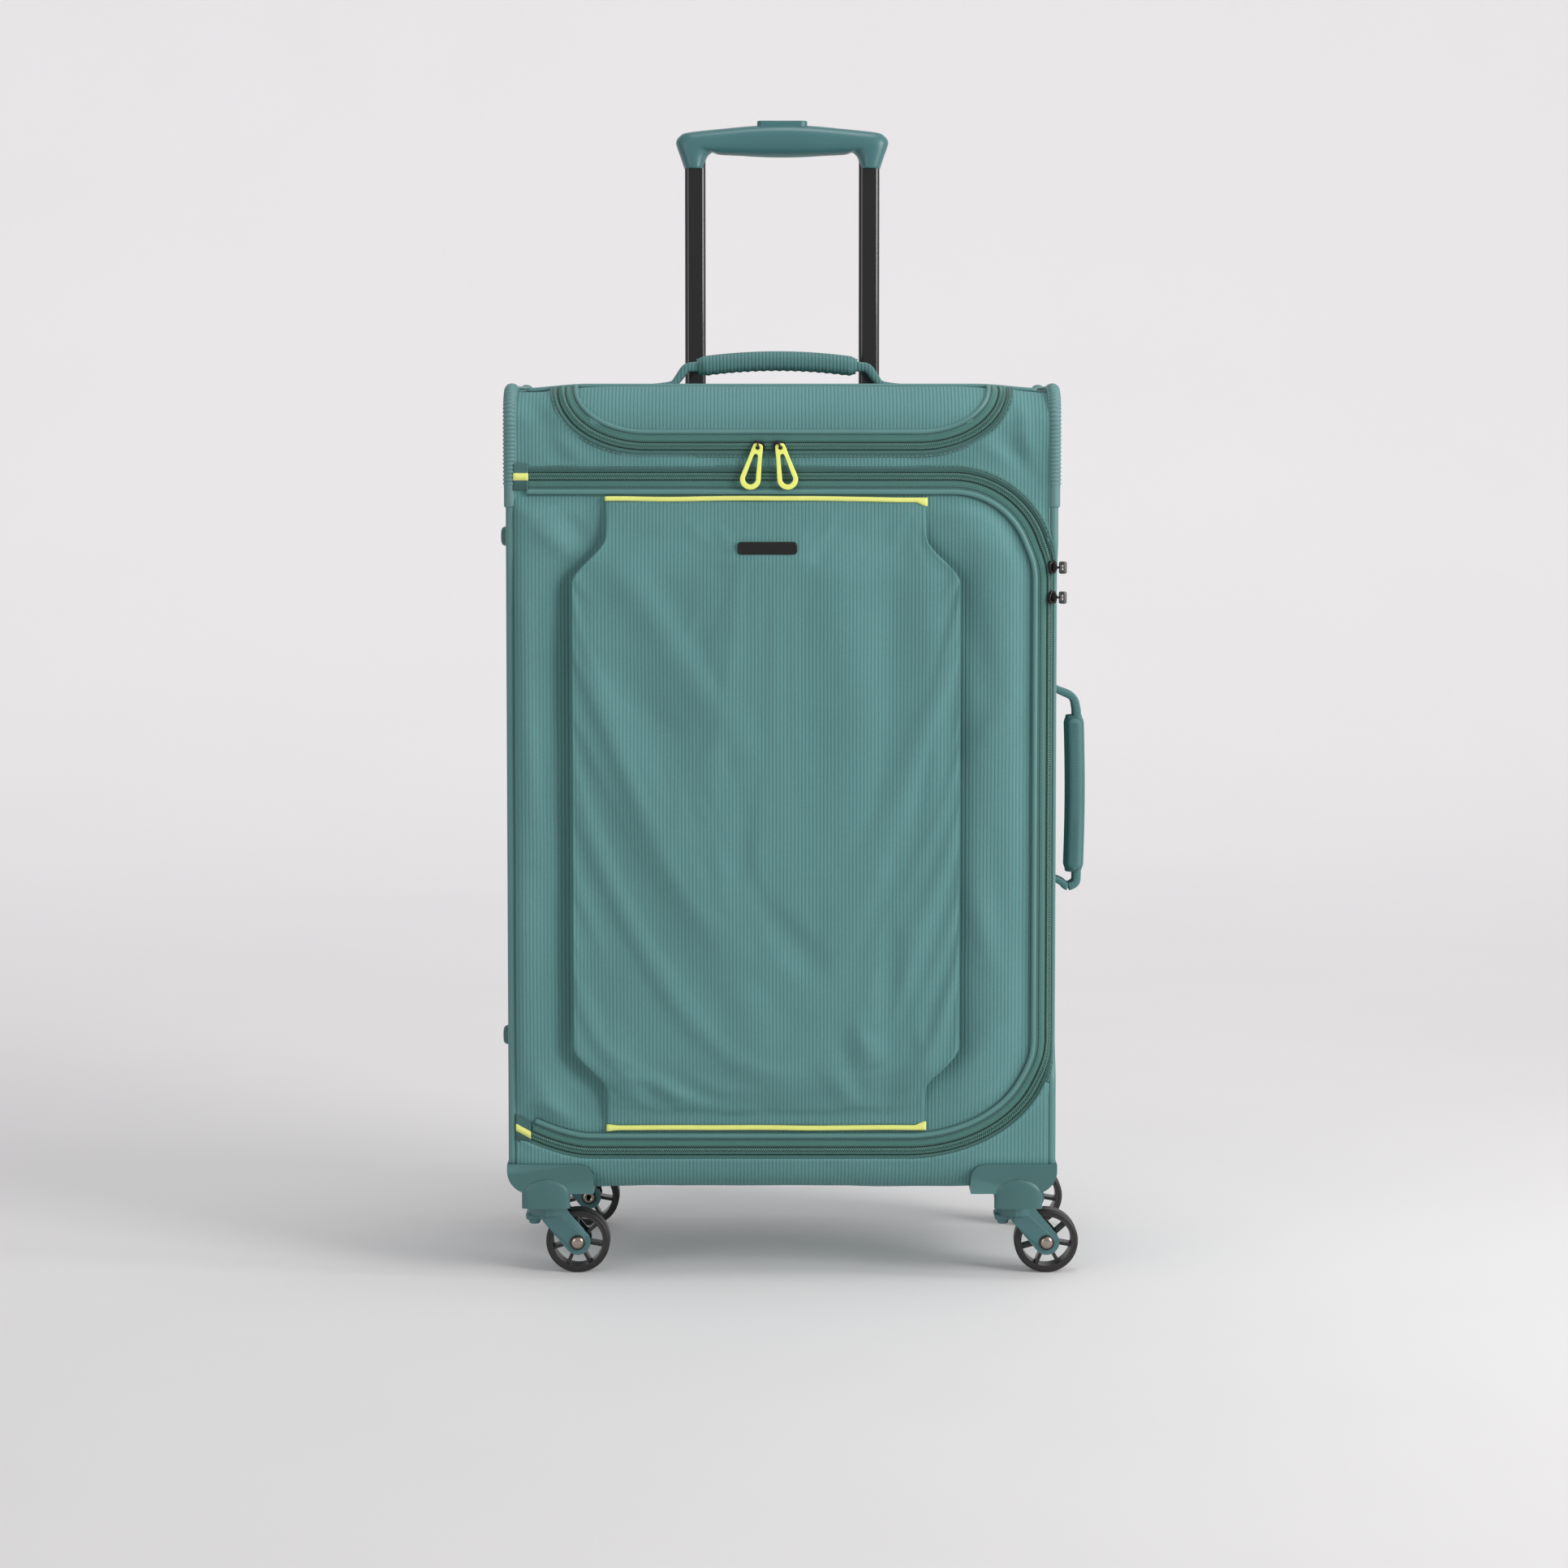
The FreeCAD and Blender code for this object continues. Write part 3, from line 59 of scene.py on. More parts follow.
def span(node):
    """Lowest and highest corner of a CAD node, in millimetres."""
    low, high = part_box(node)
    return np.array(low) / MM, np.array(high) / MM


def centre_of(node):
    """Centre of a CAD node's box, in millimetres."""
    return sum(span(node)) / 2


def turns(count):
    """Angles of points spread evenly round a circle."""
    return np.linspace(0, 2 * math.pi, count, endpoint=False)


# --- sizes read from the frame -----------------------------------------------------------
FRAME_LOW, FRAME_HIGH = span("front_frame")
BASE_LOW, BASE_HIGH = span("bottom_panel")
LID_LOW, LID_HIGH = span("lid_zip_half")
FLAP_LOW, FLAP_HIGH = span("top_flap")
POCKET_LOW, POCKET_HIGH = span("front_pocket")
LINING_LOW, LINING_HIGH = span("lining")
WELL_LOW, WELL_HIGH = span("trolley_bezel")
BADGE_MIDDLE = centre_of("badge")
HALF = span("right_side_panel")[1][0]
SIDE_IN = FRAME_HIGH[0]
FRONT = FRAME_LOW[1]
BACK = BASE_HIGH[1]
TOP = span("top_panel")[1][2]
BOTTOM = BASE_LOW[2]
ROUND = BASE_HIGH[2] - BOTTOM            # radius of the four long edges
STEM_X = 183.5                           # swivel axes, left and right of the middle
PIPING_R = 3.5
PIPING_X = HALF - 0.1
PIPING_IN = 2.0                          # piping's line, in from the case's outline
COIL_GAP = 0.25                          # half the gap between a zip's two tapes
ZIP_TOP = LID_HIGH[2] + COIL_GAP
ZIP_FOOT = LID_LOW[2] - COIL_GAP
ZIP_RIGHT = LID_HIGH[0] + COIL_GAP
ZIP_LEFT = -196.0
CORNER_HIGH = 72.0                       # radius of the lid's upper right corner
CORNER_LOW_X = 106.0                     # and of its lower one, across and up
CORNER_LOW_Z = 80.0
FLAP_FOOT = FLAP_LOW[2] - COIL_GAP
FLAP_HALF = FLAP_HIGH[0] + COIL_GAP
FLAP_FLAT = 104.0                        # half of the flap zip's straight run
TAPE = 9.0                               # width of a zip tape, from its coil's line
HEM = 5.6                                # body cloth's folded edge, from the coils' lines
RIB = 2.8                                # pitch of the cloth's ribs

# --- small mesh kit --------------------------------------------------------------------------
SHARP_ANGLE = 32.0                       # edges above this many degrees are rounded


class Build:
    """Collects vertices and faces of one piece, in millimetres."""

    def __init__(self):
        self.verts = []
        self.faces = []
        self.slots = []

    def add(self, verts, faces, material=0):
        """Append faces whose numbers count from this call's first vertex."""
        base = len(self.verts)
        self.verts.extend([tuple(v) for v in verts])
        self.faces.extend([tuple(base + i for i in face) for face in faces])
        self.slots.extend([material] * len(faces))

    def rows(self, rows, closed_across=False, closed_along=False, material=0, keep=None,
             caps=False):
        """Quads between rows of points; rows are joined end to end where asked."""
        rows = np.asarray(rows, dtype=float)
        count, width = rows.shape[0], rows.shape[1]
        faces = []
        for i in range(count if closed_along else count - 1):
            for j in range(width if closed_across else width - 1):
                if keep is None or keep(i, j):
                    k = (i + 1) % count
                    m = (j + 1) % width
                    faces.append((i * width + j, i * width + m, k * width + m, k * width + j))
        if caps:
            faces.append(tuple(range(width - 1, -1, -1)))
            faces.append(tuple((count - 1) * width + j for j in range(width)))
        self.add(rows.reshape(-1, 3), faces, material)

    def finish(self, name, body, materials, slot, replaced=(), blend=None):
        """Make the mesh, and tie it to its body and its finish."""
        mesh = bpy.data.meshes.new(name)
        mesh.from_pydata([(x * MM, y * MM, z * MM) for x, y, z in self.verts], [], self.faces)
        if not isinstance(materials, (list, tuple)):
            materials = [materials]
        for material in materials:
            mesh.materials.append(material)
        mesh.polygons.foreach_set("material_index", self.slots)
        mesh.polygons.foreach_set("use_smooth", [True] * len(self.faces))
        bm = bmesh.new()
        bm.from_mesh(mesh)
        bmesh.ops.delete(bm, geom=[v for v in bm.verts if not v.link_faces], context="VERTS")
        bmesh.ops.recalc_face_normals(bm, faces=bm.faces)
        bm.to_mesh(mesh)
        bm.free()
        obj = bpy.data.objects.new(name, mesh)
        bpy.context.scene.collection.objects.link(obj)
        return place(obj, body, replaced, blend)


def solid(rows, *finish):
    """Closed solid through rings of points; finish is what Build.finish takes."""
    build = Build()
    build.rows(rows, True, caps=True)
    build.finish(*finish)


def place(obj, body, replaced=(), blend=None):
    """Tie a piece to its body and hide the CAD nodes that it stands for; a piece given a blend is
    only baked where it stands.
    """
    if blend is None:
        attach(obj, body)
    else:
        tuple(blend[2])
        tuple(blend[3])
        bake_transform(obj)
    if replaced:
        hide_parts(*replaced)
    return obj


def thicken(obj, depth, offset=-1.0):
    """Give a sheet its thickness."""
    wall = obj.modifiers.new("thickness", "SOLIDIFY")
    wall.thickness = depth * MM
    wall.offset = offset
    return obj


def bevelled(obj, width, segments):
    """Round the sharp edges of a hard piece."""
    bevel = obj.modifiers.new("edges", "BEVEL")
    bevel.width = width * MM
    bevel.segments = segments
    bevel.limit_method = "ANGLE"
    bevel.angle_limit = math.radians(SHARP_ANGLE)
    bevel.harden_normals = False
    return obj


def along(points, closed=False):
    """Unit tangents of a line of points."""
    points = np.asarray(points, dtype=float)
    if closed:
        run = np.roll(points, -1, 0) - np.roll(points, 1, 0)
    else:
        run = np.gradient(points, axis=0)
    return run / np.maximum(np.linalg.norm(run, axis=1, keepdims=True), 1e-9)


def along_length(points):
    """Length of a line through points."""
    points = np.asarray(points, dtype=float)
    return float(np.linalg.norm(np.diff(points, axis=0), axis=1).sum())


def resample(points, step, closed=False):
    """Points at even steps along a line."""
    points = np.asarray(points, dtype=float)
    if closed:
        points = np.vstack([points, points[:1]])
    lengths = np.concatenate([[0], np.cumsum(np.linalg.norm(np.diff(points, axis=0), axis=1))])
    count = max(int(round(lengths[-1] / step)), 2)
    stations = np.linspace(0, lengths[-1], count + 1)
    if closed:
        stations = stations[:-1]
    return np.stack([np.interp(stations, lengths, points[:, k])
                     for k in range(points.shape[1])], axis=1)


def tube_rows(points, radius, sides=12, closed=False, up=(0, 0, 1)):
    """Rings of points round a line; radius may vary, and the first point of a ring faces up."""
    points = np.asarray(points, dtype=float)
    tangents = along(points, closed)
    radius = np.broadcast_to(np.asarray(radius, dtype=float), (len(points),))
    reference = np.array(up, dtype=float)
    first = reference - tangents[0] * reference.dot(tangents[0])
    if np.linalg.norm(first) < 1e-3:
        first = X_AXIS - tangents[0] * tangents[0][0]
    normal = first / np.linalg.norm(first)
    rows = []
    for point, tangent, r in zip(points, tangents, radius):
        normal = normal - tangent * normal.dot(tangent)
        normal = normal / np.linalg.norm(normal)
        side = np.cross(tangent, normal)
        rows.append([point + r * (math.cos(a) * normal + math.sin(a) * side)
                     for a in turns(sides)])
    return rows


def capsule(build, a, b, radius, sides=6, material=0):
    """Short round bar with domed ends, for coil elements and stitches."""
    a = np.asarray(a, dtype=float)
    b = np.asarray(b, dtype=float)
    way = b - a
    way = way / max(np.linalg.norm(way), 1e-9)
    side = np.cross(way, Z_AXIS)
    if np.linalg.norm(side) < 0.2:
        side = np.cross(way, X_AXIS)
    side = side / np.linalg.norm(side)
    over = np.cross(way, side)
    rings = ((a - way * radius * 0.6, 0.75), (a, 1.0), (b, 1.0), (b + way * radius * 0.6, 0.75))
    rows = []
    for centre, share in rings:
        rows.append([centre + radius * share * (math.cos(t) * side + math.sin(t) * over)
                     for t in turns(sides)])
    build.rows(rows, closed_across=True, material=material, caps=True)


def ripple(x, z, seed, scale):
    """Smooth noise from -1 to 1."""
    return noise.noise(Vector((x / scale, z / scale, seed)))


def ease(value):
    """Smooth step from 0 to 1."""
    t = min(max(value, 0.0), 1.0)
    return t * t * (3 - 2 * t)


def ridge(x, z, x0, z0, x1, z1, width, height):
    """Soft fold along a line from one point to another."""
    dx, dz = x1 - x0, z1 - z0
    t = min(max(((x - x0) * dx + (z - z0) * dz) / (dx * dx + dz * dz), 0.0), 1.0)
    away = math.hypot(x - x0 - t * dx, z - z0 - t * dz) / width
    return height * math.exp(-away * away) * (0.35 + 0.65 * math.sin(math.pi * min(max(t, .05), .95)))


# --- materials ----------------------------------------------------------------------------------


def linear(r, g, b):
    """Display colour from 0 to 255 to the renderer's linear colour."""
    out = []
    for c in (r, g, b):
        c = c / 255.0
        out.append(c / 12.92 if c <= 0.04045 else ((c + 0.055) / 1.055) ** 2.4)
    return tuple(out) + (1.0,)


def darker(colour, share):
    """Linear colour with only this share of its light."""
    return tuple(c * share for c in colour[:3]) + (1.0,)


class Nodes:
    """Short way to write a node tree."""

    def __init__(self, name, roughness=0.6, **fixed):
        self.material = bpy.data.materials.new(name)
        self.material.use_nodes = True
        self.tree = self.material.node_tree
        self.shader = self.tree.nodes["Principled BSDF"]
        self.shader.inputs["Roughness"].default_value = roughness
        for key, value in fixed.items():
            self.shader.inputs[key.replace("_", " ")].default_value = value

    def node(self, kind, inputs=(), **settings):
        made = self.tree.nodes.new(kind)
        for key, value in settings.items():
            setattr(made, key, value)
        for key, value in dict(inputs).items():
            socket = made.inputs[key]
            if isinstance(value, bpy.types.NodeSocket):
                self.tree.links.new(value, socket)
            else:
                socket.default_value = value
        return made

    def math(self, operation, a, b=0.0, c=0.0):
        return self.node("ShaderNodeMath", {0: a, 1: b, 2: c}, operation=operation).outputs[0]

    def place(self):
        """Position on the piece, in metres, as x, y and z."""
        coordinates = self.node("ShaderNodeTexCoord").outputs["Object"]
        split = self.node("ShaderNodeSeparateXYZ", {0: coordinates})
        return coordinates, split.outputs

    def noise(self, vector, scale, detail=2.0, roughness=0.5):
        made = self.node("ShaderNodeTexNoise", {"Vector": vector, "Scale": scale,
                                                "Detail": detail, "Roughness": roughness})
        return made.outputs["Fac"]

    def mix(self, factor, a, b, blend="MIX"):
        return self.node("ShaderNodeMix", {0: factor, 6: a, 7: b}, data_type="RGBA",
                         blend_type=blend).outputs[2]

    def edges(self, level, gain):
        """How far convex edges rise above a level of pointiness, from 0 up."""
        edge = self.node("ShaderNodeNewGeometry").outputs["Pointiness"]
        raised = self.math("MULTIPLY", self.math("SUBTRACT", edge, level), gain)
        return self.math("MAXIMUM", raised, 0.0)

    def drawn(self, vector, stretch):
        """Noise stretched into the fine lines of drawn metal."""
        stretched = self.node("ShaderNodeMapping", {"Vector": vector, "Scale": stretch})
        return self.noise(stretched.outputs[0], 1.0)

    def wave(self, value, pitch):
        """Cosine from 0 to 1 with this pitch in metres."""
        turned = self.math("MULTIPLY", value, 2 * math.pi / pitch)
        return self.math("MULTIPLY_ADD", self.math("COSINE", turned), 0.5, 0.5)

    def finish(self, colour, height=None, strength=0.5, distance=0.0004, rough=None):
        self.tree.links.new(colour, self.shader.inputs["Base Color"])
        if rough is not None:
            self.tree.links.new(rough, self.shader.inputs["Roughness"])
        if height is not None:
            bump = self.node("ShaderNodeBump", {"Strength": strength, "Distance": distance,
                                                "Height": height})
            self.tree.links.new(bump.outputs[0], self.shader.inputs["Normal"])
        return self.material


def ribbed_cloth(name, colour, across, valley_shade=0.76):
    """Corded polyester: ribs across one axis, over a fine diagonal twill, with painted shade in the
    rib valleys and a painted highlight along convex edges.
    """
    n = Nodes(name, roughness=0.8, Sheen_Weight=0.06, Sheen_Roughness=0.4,
              Specular_IOR_Level=0.3)
    n.shader.inputs["Sheen Tint"].default_value = linear(190, 225, 222)
    where, axes = n.place()
    wobble = n.math("MULTIPLY_ADD", n.noise(where, 14.0), 0.0010, axes[across])
    valley_share = n.math("POWER", n.math("SUBTRACT", 1.0, n.wave(wobble, RIB * MM)), 2.4)
    rib = n.math("SUBTRACT", 1.0, valley_share)
    diagonal = n.math("ADD", axes[across], n.math("MULTIPLY", axes[2], 0.6))
    if across == 0:
        diagonal = n.math("ADD", diagonal, n.math("MULTIPLY", axes[1], 0.6))
    twill = n.wave(diagonal, 0.00095)
    slub = n.noise(where, 900.0)
    # Rib valleys keep only a share of the colour: painted shade between the ribs.
    body = n.mix(rib, darker(colour, valley_shade), colour)
    tone = n.math("MULTIPLY_ADD", n.noise(where, 9.0, 4.0, 0.6), 0.22, 0.89)
    fine = n.math("MULTIPLY_ADD", twill, 0.2, 0.88)
    grain = n.math("MULTIPLY_ADD", slub, 0.24, 0.88)
    shade = n.math("MULTIPLY", n.math("MULTIPLY", tone, fine), grain)
    grey = n.node("ShaderNodeCombineColor", {0: shade, 1: shade, 2: shade}).outputs[0]
    tinted = n.mix(1.0, body, grey, "MULTIPLY")
    # Convex edges turn towards a pale teal: a painted highlight along the edges.
    edge_highlighted = n.mix(n.edges(0.5, 0.5), tinted, linear(150, 186, 182))
    height = n.math("ADD", rib, n.math("MULTIPLY", n.math("ADD", twill, slub), 0.16))
    return n.finish(edge_highlighted, height, 0.6, 0.0004)


def plain_cloth(name, colour, pitch, contrast, sheen=0.2):
    """Closely woven tape or lining: herringbone from two diagonal waves."""
    n = Nodes(name, roughness=0.8, Sheen_Weight=sheen, Specular_IOR_Level=0.3)
    where, axes = n.place()
    up = n.math("ADD", n.math("ADD", axes[0], axes[1]), axes[2])
    down = n.math("SUBTRACT", n.math("ADD", axes[0], axes[1]), axes[2])
    weave = n.math("MULTIPLY", n.wave(up, pitch), n.wave(down, pitch))
    mottle = n.noise(where, 35.0, 4.0)
    share = n.math("MULTIPLY_ADD", mottle, 0.5, n.math("MULTIPLY", weave, 0.6))
    body = n.mix(share, darker(colour, 1 - contrast), colour)
    return n.finish(body, weave, 0.5, 0.0003)


def moulded(name, colour, roughness, grain, scale=2200.0, variation=0.12):
    """Moulded plastic or rubber: fine spark-eroded texture, with a painted highlight along convex
    edges.
    """
    n = Nodes(name, roughness=roughness, Specular_IOR_Level=0.45)
    where, _ = n.place()
    texture = n.noise(where, scale)
    drift = n.noise(where, 22.0, 3.0)
    body = n.mix(drift, darker(colour, 1 - variation), colour)
    # Convex edges move up to half way to a paler copy of the colour: a painted highlight.
    edge_highlight = n.math("MINIMUM", n.edges(0.53, 3.0), 0.5)
    light = tuple(min(c * 1.7 + 0.03, 1.0) for c in colour[:3]) + (1.0,)
    body = n.mix(edge_highlight, body, light)
    rough = n.math("MULTIPLY_ADD", drift, 0.14, roughness - 0.07)
    return n.finish(body, texture, grain, 0.00006, rough)


def metal(name, colour, roughness):
    """Plated metal, drawn along X, with faint handling marks."""
    n = Nodes(name, roughness=roughness, Metallic=1.0)
    where, _ = n.place()
    lines = n.drawn(where, (6.0, 900.0, 900.0))
    marks = n.noise(where, 60.0, 5.0, 0.7)
    body = n.mix(marks, darker(colour, 0.8), colour)
    rough = n.math("MULTIPLY_ADD", n.math("MULTIPLY", lines, marks), 0.35, roughness - 0.06)
    return n.finish(body, lines, 0.08, 0.00003, rough)


def rod_black():
    """Black anodised tube: dark, glossy, with lengthwise drawing lines."""
    n = Nodes("rod_black", roughness=0.22, Specular_IOR_Level=0.7, Metallic=0.55,
              Coat_Weight=0.6, Coat_Roughness=0.06)
    where, _ = n.place()
    lines = n.drawn(where, (1400.0, 1400.0, 9.0))
    body = n.mix(lines, linear(16, 14, 13), linear(31, 29, 28))
    rough = n.math("MULTIPLY_ADD", lines, 0.1, 0.12)
    return n.finish(body, lines, 0.06, 0.00003, rough)


def floor_white():
    """Pale matt studio floor with a barely visible paint grain."""
    n = Nodes("studio_floor", roughness=0.85, Specular_IOR_Level=0.1)
    n.shader.inputs["Emission Color"].default_value = linear(232, 230, 231)
    where, axes = n.place()
    back = n.node("ShaderNodeMapRange", {0: axes[1], 1: -1.5, 2: 4.5, 3: 0.05, 4: 0.46},
                  interpolation_type="SMOOTHSTEP").outputs[0]
    n.tree.links.new(back, n.shader.inputs["Emission Strength"])
    grain = n.noise(where, 3.0, 4.0)
    return n.finish(n.mix(grain, linear(208, 206, 206), linear(213, 211, 211)))


TEAL = linear(93, 139, 138)
SHELL = ribbed_cloth("shell_ribs", TEAL, 0)
SHELL_SIDE = ribbed_cloth("shell_ribs_side", TEAL, 1)
POCKET = ribbed_cloth("pocket_ribs", linear(91, 137, 136), 0)
HANDLE_RIBS = ribbed_cloth("handle_ribs", linear(88, 130, 129), 0, 0.6)
# The side handle's cloth, ribbed the other way, is the handle cloth made darker: painted shade on the
# side handle.
HANDLE_SIDE_SHADED = ribbed_cloth("handle_ribs_side_shaded", linear(80, 120, 119), 1, 0.6)
TAPE_CLOTH = plain_cloth("zip_tape", linear(76, 124, 116), 0.0012, 0.25)
BINDING = plain_cloth("binding", linear(66, 106, 103), 0.0014, 0.25)
COIL = moulded("zip_coil", linear(66, 108, 100), 0.35, 0.1)
# Near-black cloth under and beside the zip coils: painted shade in the zip's gap.
ZIP_GAP_SHADE = plain_cloth("zip_gap_painted_shade", linear(30, 54, 50), 0.0008, 0.3)
THREAD = plain_cloth("thread", linear(92, 138, 132), 0.0006, 0.2)
PIPING = moulded("piping_cord", linear(84, 128, 125), 0.5, 0.4, 900.0)
GUARD = moulded("guard_rubber", linear(90, 130, 128), 0.5, 0.3)
YELLOW = plain_cloth("yellow_trim", linear(232, 236, 132), 0.0012, 0.12, 0.1)
YELLOW_SOFT = moulded("yellow_pull", linear(232, 236, 118), 0.42, 0.2, 1500.0, 0.05)
BADGE = moulded("badge_black", linear(22, 21, 21), 0.25, 0.1)
BLACK_ENAMEL = moulded("slider_enamel", linear(24, 22, 22), 0.22, 0.08, 700.0)
GUNMETAL = metal("gunmetal", linear(118, 114, 112), 0.34)
GRIP = moulded("grip_plastic", linear(66, 110, 112), 0.36, 0.3)
HOUSING = moulded("housing_plastic", linear(64, 104, 103), 0.4, 0.3)
FORK = moulded("fork_plastic", linear(70, 110, 112), 0.38, 0.25)
WHEEL_RIM = moulded("wheel_rim", linear(30, 27, 26), 0.38, 0.25)
TYRE = moulded("tyre_rubber", linear(36, 33, 32), 0.5, 0.5, 1200.0)
NICKEL = metal("nickel", linear(176, 162, 150), 0.22)
ROD = rod_black()
INNER_PLASTIC = moulded("inner_plastic", linear(40, 40, 41), 0.5, 0.3)
LINING = plain_cloth("lining_cloth", linear(70, 74, 77), 0.0016, 0.3, 0.3)
LINING_MESH = plain_cloth("lining_pocket", linear(52, 56, 60), 0.0026, 0.5, 0.2)
WEBBING = plain_cloth("strap_webbing", linear(38, 40, 43), 0.0022, 0.45, 0.2)


def window_clear():
    """Clear vinyl with a slight haze."""
    n = Nodes("tag_window", roughness=0.12, Transmission_Weight=0.85, IOR=1.45)
    where, _ = n.place()
    haze = n.noise(where, 120.0, 3.0)
    rough = n.math("MULTIPLY_ADD", haze, 0.15, 0.05)
    return n.finish(n.mix(haze, linear(214, 232, 220), linear(238, 246, 240)), haze, 0.1,
                    0.0001, rough)


CLEAR = window_clear()

# --- camera, lights and stage, in metres ------------------------------------------------------
EYE = (0.0015, -3.359, 0.6755)
LENS = 96.5                              # focal length on a sensor 36 mm wide
SHIFT = -0.0472
PITCH = 4.097                            # degrees below the horizon
SKY_COLOUR = (0.97, 0.975, 1.0, 1.0)
SKY_STRENGTH = 0.5
CASE_MIDDLE = (0, 0, 0.45)
COOL = (0.97, 0.99, 1.0)
LIGHTS = (
    # name, place, point it faces, width and height, watts, tint
    ("key_right", (2.9, -2.3, 1.75), CASE_MIDDLE, (1.3, 1.9), 82, (1, 1, 1)),
    ("fill_left", (-2.6, -3.0, 1.3), CASE_MIDDLE, (1.6, 2.0), 22, COOL),
    ("strip_right", (1.5, -0.5, 1.1), (0.1, 0.0, 0.8), (0.25, 1.6), 9, (1, 1, 1)),
    ("top_soft", (0.2, -0.2, 2.9), (0, 0, 0.6), (1.2, 0.8), 16, (1, 1, 1)))
FLOOR_END = 2500.0                       # where the floor starts to curve up, in millimetres
FLOOR_BEND = 3000.0
FLOOR_HALF = 9000.0


def make_camera():
    """Long lens, almost level, a little above the middle of the case."""
    data = bpy.data.cameras.new("camera")
    data.lens = LENS
    data.sensor_width = 36.0
    data.shift_y = SHIFT
    data.clip_start = 0.05
    data.clip_end = 60.0
    camera = bpy.data.objects.new("camera", data)
    camera.location = EYE
    camera.rotation_euler = (math.radians(90 - PITCH), 0, 0)
    bpy.context.scene.collection.objects.link(camera)
    bpy.context.scene.camera = camera


def area_light(name, place_at, aim, size, power, tint):
    """Rectangular soft light turned towards a point."""
    data = bpy.data.lights.new(name, "AREA")
    data.shape = "RECTANGLE"
    data.size, data.size_y = size
    data.energy = power
    data.color = tint
    light = bpy.data.objects.new(name, data)
    light.location = place_at
    light.rotation_euler = (Vector(aim) - Vector(place_at)).to_track_quat("-Z", "Y").to_euler()
    bpy.context.scene.collection.objects.link(light)


def make_stage():
    """Seamless floor that curves up into a backdrop, an even sky and soft studio lights."""
    world = bpy.data.worlds.new("studio")
    world.use_nodes = True
    world.node_tree.nodes["Background"].inputs[0].default_value = SKY_COLOUR
    world.node_tree.nodes["Background"].inputs[1].default_value = SKY_STRENGTH
    bpy.context.scene.world = world
    rows = []
    for step in range(-8, 33):
        if step <= 0:
            y, z = FLOOR_END + step * 1100.0, 0.0
        elif step <= 16:
            turn = step / 16 * math.pi / 2
            y, z = FLOOR_END + FLOOR_BEND * math.sin(turn), FLOOR_BEND * (1 - math.cos(turn))
        else:
            y, z = FLOOR_END + FLOOR_BEND, FLOOR_BEND + (step - 16) * 300.0
        rows.append([(x, y, z) for x in np.linspace(-FLOOR_HALF, FLOOR_HALF, 31)])
    stage = Build()
    stage.rows(rows)
    mesh = bpy.data.meshes.new("studio_floor")
    mesh.from_pydata([(x * MM, y * MM, z * MM) for x, y, z in stage.verts], [], stage.faces)
    mesh.polygons.foreach_set("use_smooth", [True] * len(stage.faces))
    mesh.materials.append(floor_white())
    floor = bpy.data.objects.new("studio_floor", mesh)
    bpy.context.scene.collection.objects.link(floor)
    for light in LIGHTS:
        area_light(*light)
    bpy.context.scene.view_settings.view_transform = "Standard"


# --- surfaces -------------------------------------------------------------------------------------
FRONT_RUN = TOP - BOTTOM - 2 * ROUND
ROUND_RUN = math.pi / 2 * ROUND
TOP_RUN = BACK - FRONT - 2 * ROUND
ROLL_R = 10.9                            # the right front edge is rolled round this radius
ROLL_START = ZIP_RIGHT - 9.5
ROLL_SHIFT = 3.7
ROLL_EASE = 50.0                         # width over which the cloth shifts before the roll
ROLL_LOW = (BOTTOM + 82.0, BOTTOM + 118.0)
ROLL_HIGH = (TOP - 148.0, TOP - 116.0)


def loop_point(x, s, off=0.0):
    """Point on the case's cloth, with its top corners sunk a little."""
    x, y, z = wrap_point(x, s, off)
    return x, y, z - corner_sag(x, z)


def wrap_point(x, s, off):
    """Point on the plain form of the cloth that wraps the case: s runs up the front, over and
    round, from the height where the front's upper round starts; off is outwards."""
    total = 2 * (FRONT_RUN + TOP_RUN) + 4 * ROUND_RUN
    s = (s + FRONT_RUN) % total - FRONT_RUN
    inner_front, inner_back = FRONT + ROUND, BACK - ROUND
    high, low = TOP - ROUND, BOTTOM + ROUND
    reach = ROUND + off
    if s <= 0:
        return x, FRONT - off, high + s
    if s <= ROUND_RUN:
        a = s / ROUND
        return x, inner_front - reach * math.cos(a), high + reach * math.sin(a)
    s -= ROUND_RUN
    if s <= TOP_RUN:
        return x, inner_front + s, TOP + off
    s -= TOP_RUN
    if s <= ROUND_RUN:
        a = s / ROUND
        return x, inner_back + reach * math.sin(a), high + reach * math.cos(a)
    s -= ROUND_RUN
    if s <= FRONT_RUN:
        return x, BACK + off, high - s
    s -= FRONT_RUN
    if s <= ROUND_RUN:
        a = s / ROUND
        return x, inner_back + reach * math.cos(a), low - reach * math.sin(a)
    s -= ROUND_RUN
    if s <= TOP_RUN:
        return x, inner_back - s, BOTTOM - off
    s -= TOP_RUN
    a = s / ROUND
    return x, inner_front - reach * math.sin(a), low - reach * math.cos(a)


CORNER_SAG = 3.4


def corner_sag(x, z):
    """Soft top edge's drop towards its two corners."""
    high = ease((z - (TOP - ROUND)) / ROUND)
    return CORNER_SAG * ease((abs(x) - 150.0) / 52.0) * high


def roll_share(z):
    """How far the right front edge is rolled round the corner at this height."""
    low = ease((z - ROLL_LOW[0]) / (ROLL_LOW[1] - ROLL_LOW[0]))
    high = ease((ROLL_HIGH[1] - z) / (ROLL_HIGH[1] - ROLL_HIGH[0]))
    return min(low, high)


